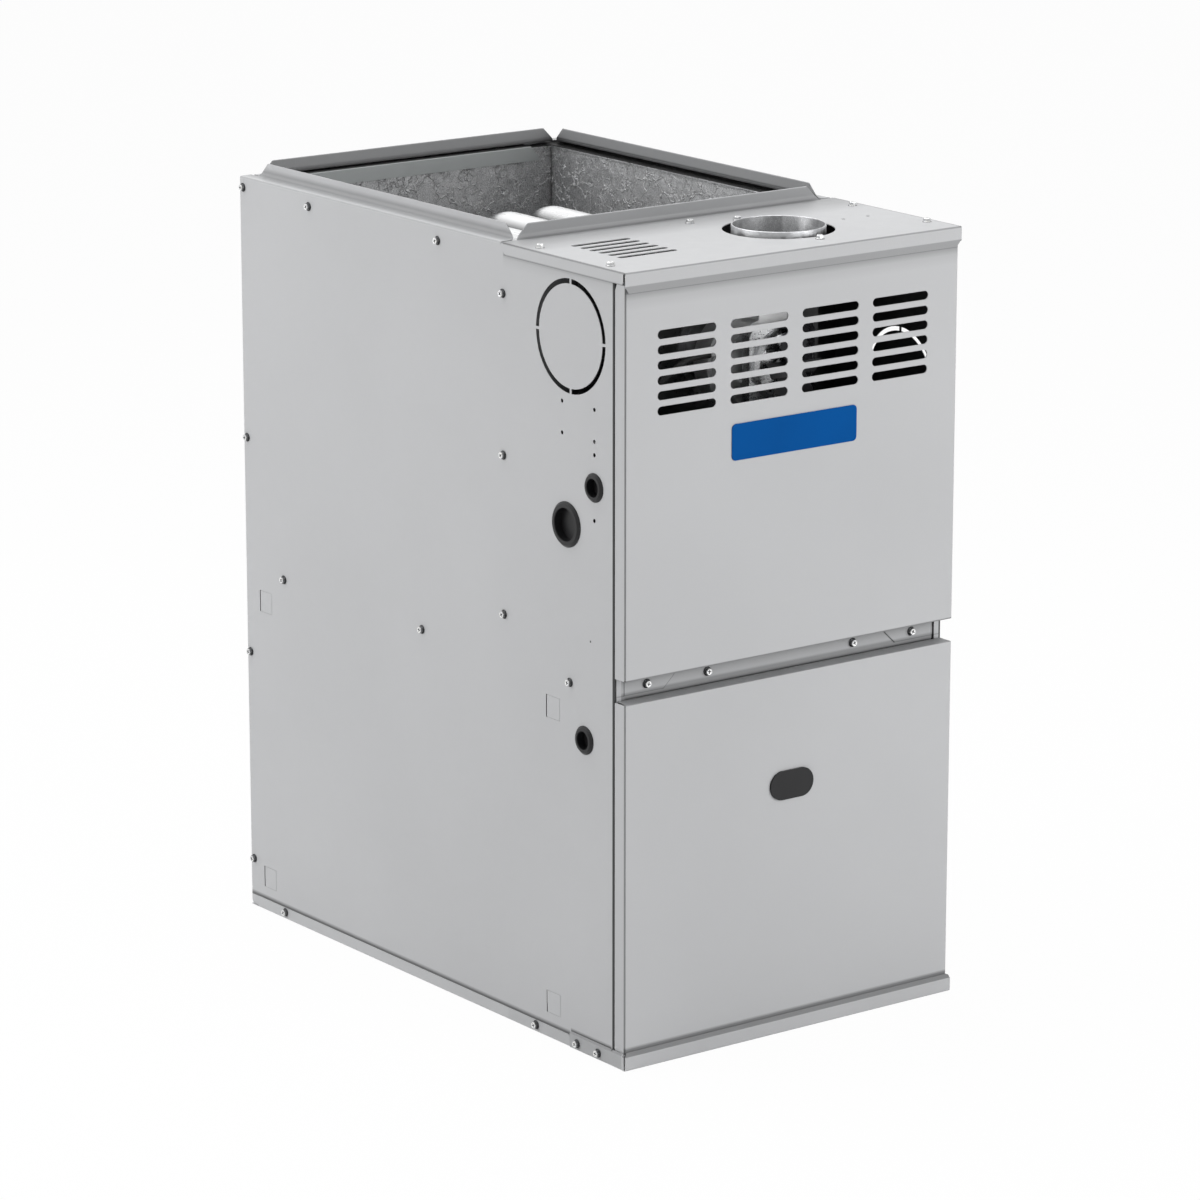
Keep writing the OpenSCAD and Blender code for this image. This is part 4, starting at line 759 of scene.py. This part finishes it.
def foil_board(b, low, high, axis, out):
    """A board between two corners; its face across axis, on the side out, is crumpled into the board."""
    u, v = [i for i in range(3) if i != axis]
    counts = [max(2, round((high[i] - low[i]) / FOIL_PITCH)) for i in (u, v)]
    front = high[axis] if out > 0 else low[axis]
    back = low[axis] if out > 0 else high[axis]
    grid = []
    for i in range(counts[0] + 1):
        row = []
        for j in range(counts[1] + 1):
            place = Vector((0, 0, 0))
            place[u] = low[u] + (high[u] - low[u]) * i / counts[0]
            place[v] = low[v] + (high[v] - low[v]) * j / counts[1]
            place[axis] = front
            edge = min(i, counts[0] - i, j, counts[1] - j)
            place[axis] = front - out * FOIL_DEPTH * crumple(place) * min(1.0, edge)
            row.append(b.verts.new(place))
        grid.append(row)
    for i in range(counts[0]):
        for j in range(counts[1]):
            face = b.faces.new((grid[i][j], grid[i + 1][j], grid[i + 1][j + 1], grid[i][j + 1]))
            face.smooth = True
    corners = []
    for i, j in ((0, 0), (-1, 0), (-1, -1), (0, -1)):
        place = grid[i][j].co.copy()
        place[axis] = back
        corners.append(b.verts.new(place))
    b.faces.new(corners)
    rims = [[row[0] for row in grid], grid[-1], [row[-1] for row in grid][::-1], grid[0][::-1]]
    for k, rim in enumerate(rims):
        b.faces.new([*rim, corners[(k + 1) % 4], corners[k]])


def foil_facing():
    b = bmesh.new()
    for part in islands("foil_liners"):
        low = Vector(min(p[i] for p in part) for i in range(3))
        high = Vector(max(p[i] for p in part) for i in range(3))
        middle = (low + high) / 2
        if high[0] - low[0] < high[1] - low[1]:
            foil_board(b, low, high, 0, -1 if middle[0] > 0 else 1)
        else:
            foil_board(b, low, high, 1, -1)
    bmesh.ops.recalc_face_normals(b, faces=b.faces)
    mesh = bpy.data.meshes.new("foil_facing")
    b.to_mesh(mesh)
    b.free()
    piece = link(mesh, "foil_facing")
    mesh.materials.append(finishes["foil_insulation"])
    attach(piece, "furnace")
    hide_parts("foil_liners")


foil_facing()

# ---------------------------------------------------------------- stage and light


def white_to_camera(tree, strength):
    """1 where a camera, mirror or glass ray arrives, times strength."""
    path = tree.nodes.new("ShaderNodeLightPath")
    total = path.outputs["Is Camera Ray"]
    for name in ("Is Glossy Ray", "Is Transmission Ray"):
        add = tree.nodes.new("ShaderNodeMath")
        add.operation, add.use_clamp = "ADD", True
        tree.links.new(total, add.inputs[0])
        tree.links.new(path.outputs[name], add.inputs[1])
        total = add.outputs[0]
    scale = tree.nodes.new("ShaderNodeMath")
    scale.operation = "MULTIPLY"
    tree.links.new(total, scale.inputs[0])
    scale.inputs[1].default_value = strength
    return scale.outputs[0]


AMBIENT = 0.24
FLOOR_WHITE = 0.97


def make_world():
    world = bpy.data.worlds.new("studio")
    bpy.context.scene.world = world
    world.use_nodes = True
    tree = world.node_tree
    tree.nodes.clear()
    seen = white_to_camera(tree, 1.0 - AMBIENT)
    level = tree.nodes.new("ShaderNodeMath")
    level.operation = "ADD"
    level.inputs[1].default_value = AMBIENT
    tree.links.new(seen, level.inputs[0])
    background = tree.nodes.new("ShaderNodeBackground")
    background.inputs["Color"].default_value = (1, 1, 1, 1)
    tree.links.new(level.outputs[0], background.inputs["Strength"])
    tree.links.new(background.outputs[0], tree.nodes.new("ShaderNodeOutputWorld").inputs["Surface"])


def make_floor():
    mesh = bpy.data.meshes.new("floor")
    side = 9.0
    mesh.from_pydata([(-side, -side, 0), (side, -side, 0), (side, side, 0), (-side, side, 0)], [], [(0, 1, 2, 3)])
    floor = link(mesh, "floor")
    material = bpy.data.materials.new("floor_white")
    material.use_nodes = True
    tree = material.node_tree
    tree.nodes.clear()
    matt = tree.nodes.new("ShaderNodeBsdfDiffuse")
    matt.inputs["Color"].default_value = (0.86, 0.86, 0.86, 1)
    glow = tree.nodes.new("ShaderNodeEmission")
    mix = tree.nodes.new("ShaderNodeMixShader")
    tree.links.new(white_to_camera(tree, FLOOR_WHITE), mix.inputs[0])
    tree.links.new(matt.outputs[0], mix.inputs[1])
    tree.links.new(glow.outputs[0], mix.inputs[2])
    tree.links.new(mix.outputs[0], tree.nodes.new("ShaderNodeOutputMaterial").inputs["Surface"])
    mesh.materials.append(material)


def softbox(name, at, aim, size, power):
    data = bpy.data.lights.new(name, "AREA")
    data.shape, data.size, data.size_y, data.energy = "RECTANGLE", size[0], size[1], power
    lamp = bpy.data.objects.new(name, data)
    bpy.context.scene.collection.objects.link(lamp)
    lamp.location = at
    lamp.rotation_mode = "QUATERNION"
    lamp.rotation_quaternion = (Vector(aim) - Vector(at)).to_track_quat("-Z", "Y")


make_world()
make_floor()
MIDDLE = (0, 0, 0.45)
softbox("left_box", (-3.1, 1.5, 1.65), MIDDLE, (2.4, 2.2), 61)
softbox("front_box", (1.4, -3.3, 1.45), MIDDLE, (2.4, 2.2), 71)
softbox("top_box", (0.0, 0.7, 3.4), MIDDLE, (2.6, 2.6), 77)
